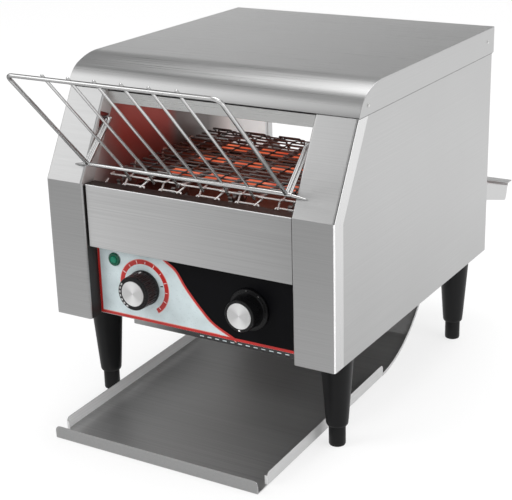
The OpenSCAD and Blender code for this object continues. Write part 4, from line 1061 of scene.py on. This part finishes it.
def panelPrint(q, k):
    # the dark half with its wave and edges, a border on two sides, and the dial's scale
    depth = {layer: q["front"] - lift for layer, lift in q["layers"].items()}
    wave = smoothCurve(q["wave"], 60)
    slope = np.gradient(wave, axis=0)
    slope /= np.linalg.norm(slope, axis=1, keepdims=True)
    normal = np.column_stack([slope[:, 1], -slope[:, 0]])
    edge = np.column_stack([np.full(60, q["right"]), wave[:, 1]])
    flatPatch("panelDark", wave, edge, depth["film"], "black")
    half = normal * q["waveWidth"] / 2
    flatPatch("waveLine", wave + half, wave - half, depth["high"], "red")
    light = wave + normal * (q["waveWidth"] / 2 + 0.5)
    flatPatch("waveEdge", light + normal * 0.5, light - normal * 0.5, depth["low"], "rose")
    x0, x1, z0, top, b = q["left"], q["right"], q["bottom"], q["top"], q["border"]
    flatPatch("borderFoot", [(x0, z0), (x1, z0)], [(x0, z0 + b), (x1, z0 + b)], depth["top"], "red")
    upright = [[(x, z0 + b), (x, top)] for x in (x0, x0 + b)]
    flatPatch("borderSide", *upright, depth["top"], "red")
    rose = [[(x0 + b, z), (q["roseEnd"], z)] for z in (z0 + b, z0 + b + q["roseWidth"])]
    flatPatch("borderRose", *rose, depth["middle"], "rose")
    turns, outer = (q["scaleFrom"], q["scaleTo"]), q["scaleOuter"]
    ringMark("scaleBand", "speed", k, turns, (q["scaleInner"], outer), depth["low"], "red", count=90)
    ringMark("scaleEdge", "speed", k, turns, (outer, outer + q["scaleEdge"]), depth["low"], "rose", count=90)
    centre = np.array([k["speed"]["x"], k["z"]])
    for i, turn in enumerate(np.radians(np.linspace(turns[0] + 12, turns[1] - 10, q["ticks"]))):
        away, aside = np.array([math.sin(turn), math.cos(turn)]), np.array([math.cos(turn), -math.sin(turn)])
        start, stop = (centre + away * radius for radius in q["tickShort" if i % 2 else "tickLong"])
        left, right = ([start + aside * w, stop + aside * w] for w in (-q["tickHalf"], q["tickHalf"]))
        flatPatch("scaleTick%02d" % i, left, right, depth["top"], "mark")


def dialMarks(q, k):
    # marks on the collar, on the heat knob's ring and skirt, and painted glints on the speed knob's ring
    front, top = k["panel"] - k["length"] - q["layers"]["top"], q["front"] - q["layers"]["top"]
    ringMark("indexMark", "speed", k, *q["index"], top, "black")
    # painted glints on the speed knob's ring
    for i in range(q["glints"]):
        turn = i * q["glintStep"] + q["glintFrom"]
        ringMark("rimGlint%d" % i, "speed", k, (turn, turn + q["glintTurn"]), q["glintRadii"], front,
                 "speedCap", "speed_dial")
    ringMark("heatPointer", "heat", k, *q["pointer"], front, "mark", "heat_dial")
    for i, turn in enumerate(q["collars"]):
        ringMark("collarMark%d" % i, "heat", k, (turn, turn + q["collarTurn"]), q["collarRadii"],
                 k["panel"] - q["collarDepth"], "faintMark", "heat_dial")


panelPrint(panelArt, knobs)
dialMarks(panelArt, knobs)
print("panel printed")


# stage: floor, world and lamps

studio = {
    "floorHalf": 6.0, "floorDrop": 0.0001, "floorGlow": 0.75,
    "floorLevels": (0.46, 0.97, -0.8, 0.8),  # what the sheets mirror: level from, to, y from, to in m
    "floorSpots": [((0.85, 0.0), 0.45, 0.45), ((0.45, -0.75), 0.35, -0.22)],  # middle, radius, level
    "horizon": 0.34, "ceiling": 0.33, "least": 0.09,
    # direction, half angle of the full part, half angle of the whole, level
    "boxes": [((-0.69, -0.53, 0.49), 6.5, 26.5, 1.12), ((0.07, 0.42, 0.9), 12.0, 40.0, 1.9),
              ((-0.85, 0.26, 0.47), 12.0, 40.0, -0.3), ((-0.01, 0.92, 0.38), 12.0, 40.0, -0.3),
              ((-0.5, 0.86, -0.08), 6.0, 26.0, 0.6), ((-0.2, 0.46, 0.87), 6.0, 26.0, 1.5),
              ((-0.85, -0.05, 0.53), 6.0, 26.0, 1.0), ((-0.68, 0.38, 0.63), 6.0, 26.0, -0.45),
              ((0.8, -0.5, 0.35), 15.0, 50.0, 0.5), ((0.2, 0.9, 0.1), 10.0, 40.0, 0.4)],
}


def makeStage(q):
    # a sheet that glows white to the camera and gives mirrored light grey levels of its own
    half, drop = q["floorHalf"], -q["floorDrop"]
    mesh = bpy.data.meshes.new("floor")
    corners = [(-half, -half, drop), (half, -half, drop), (half, half, drop), (-half, half, drop)]
    mesh.from_pydata(corners, [], [[0, 1, 2, 3]])
    plane = bpy.data.objects.new("floor", mesh)
    scene.collection.objects.link(plane)
    material, tree, shader = shaderOf("floorPaper", (0.9, 0.9, 0.9), 0.0, 0.9)
    mesh.materials.append(material)
    white, mirroredLevel = tree.nodes.new("ShaderNodeEmission"), tree.nodes.new("ShaderNodeEmission")
    place = coordsOf(tree)
    level = spread(tree, axesOf(tree, place)["Y"], *q["floorLevels"])
    for (x, y), radius, change in q["floorSpots"]:
        away = vectorNode(tree, "DISTANCE", place, (x, y, 0.0)).outputs["Value"]
        level = mathNode(tree, "ADD", level, spread(tree, away, change, 0.0, radius * 0.3, radius))
    link(tree, level, mirroredLevel.inputs["Strength"])
    light = tree.nodes.new("ShaderNodeLightPath").outputs
    camera, glossy = tree.nodes.new("ShaderNodeMixShader"), tree.nodes.new("ShaderNodeMixShader")
    link(tree, mathNode(tree, "MULTIPLY", light["Is Camera Ray"], q["floorGlow"]), camera.inputs[0])
    link(tree, shader.outputs[0], camera.inputs[1])
    link(tree, white.outputs[0], camera.inputs[2])
    link(tree, light["Is Glossy Ray"], glossy.inputs[0])
    link(tree, camera.outputs[0], glossy.inputs[1])
    link(tree, mirroredLevel.outputs[0], glossy.inputs[2])
    link(tree, glossy.outputs[0], tree.nodes["Material Output"].inputs["Surface"])


def makeWorld(q):
    # grey with soft brighter and darker boxes round a few directions, and white to the camera
    world = bpy.data.worlds.new("studio")
    scene.world = world
    world.use_nodes = True
    tree = world.node_tree
    direction = coordsOf(tree, "Generated")
    total = spread(tree, axesOf(tree, direction)["Z"], q["horizon"], q["ceiling"], 0.25, 0.7)
    for centre, inner, outer, level in q["boxes"]:
        dot = vectorNode(tree, "DOT_PRODUCT", direction, np.array(centre) / np.linalg.norm(centre))
        edges = [math.cos(math.radians(angle)) for angle in (outer, inner)]
        lobe = spread(tree, dot.outputs["Value"], 0.0, level, *edges)
        lobe.node.interpolation_type = "SMOOTHSTEP"
        total = mathNode(tree, "ADD", total, lobe)
    total = mathNode(tree, "MAXIMUM", total, q["least"])
    seen = tree.nodes.new("ShaderNodeLightPath").outputs["Is Camera Ray"]
    link(tree, mixed(tree, seen, total, (1.0, 1.0, 1.0)), tree.nodes["Background"].inputs["Color"])


def softbox(name, place, target, size, power, colour=(1.0, 1.0, 1.0)):
    # an area lamp at a place in mm, turned to its target and hidden from mirrored light
    light = bpy.data.lights.new(name, "AREA")
    light.shape = "RECTANGLE"
    light.size, light.size_y = size
    light.energy = power
    light.color = colour
    box = bpy.data.objects.new(name, light)
    scene.collection.objects.link(box)
    place, target = metres(place), metres(target)
    back = (place - target) / np.linalg.norm(place - target)
    across = np.cross([0.0, 1.0, 0.0] if abs(back[2]) > 0.95 else [0.0, 0.0, 1.0], back)
    across /= np.linalg.norm(across)
    basis = np.eye(4)
    basis[:3, 0], basis[:3, 1], basis[:3, 2], basis[:3, 3] = across, np.cross(back, across), back, place
    box.matrix_world = Matrix(basis.tolist())
    box.visible_glossy = False


makeStage(studio)
makeWorld(studio)
softbox("keyBox", (-1400.0, -1500.0, 1700.0), (0.0, 150.0, 250.0), (1.2, 1.2), 26.0)
softbox("sideBox", (1900.0, 300.0, 900.0), (0.0, 200.0, 250.0), (1.4, 1.4), 18.0)
softbox("topBox", (0.0, 900.0, 2100.0), (0.0, 200.0, 300.0), (1.6, 0.8), 14.0)
# the tubes' own light, upwards from the lower ones and down from the upper ones
for name, (y, z) in zip(("glowOne", "glowTwo", "glowThree"), heaters["lower"]):
    softbox(name, (0.0, y, 281.0), (0.0, y, 300.0), (0.24, 0.01), 0.006, (1.0, 0.2, 0.05))
softbox("glowUpper", (0.0, 150.0, 355.0), (0.0, 150.0, 290.0), (0.24, 0.14), 0.03, (1.0, 0.12, 0.05))
print("stage lit")
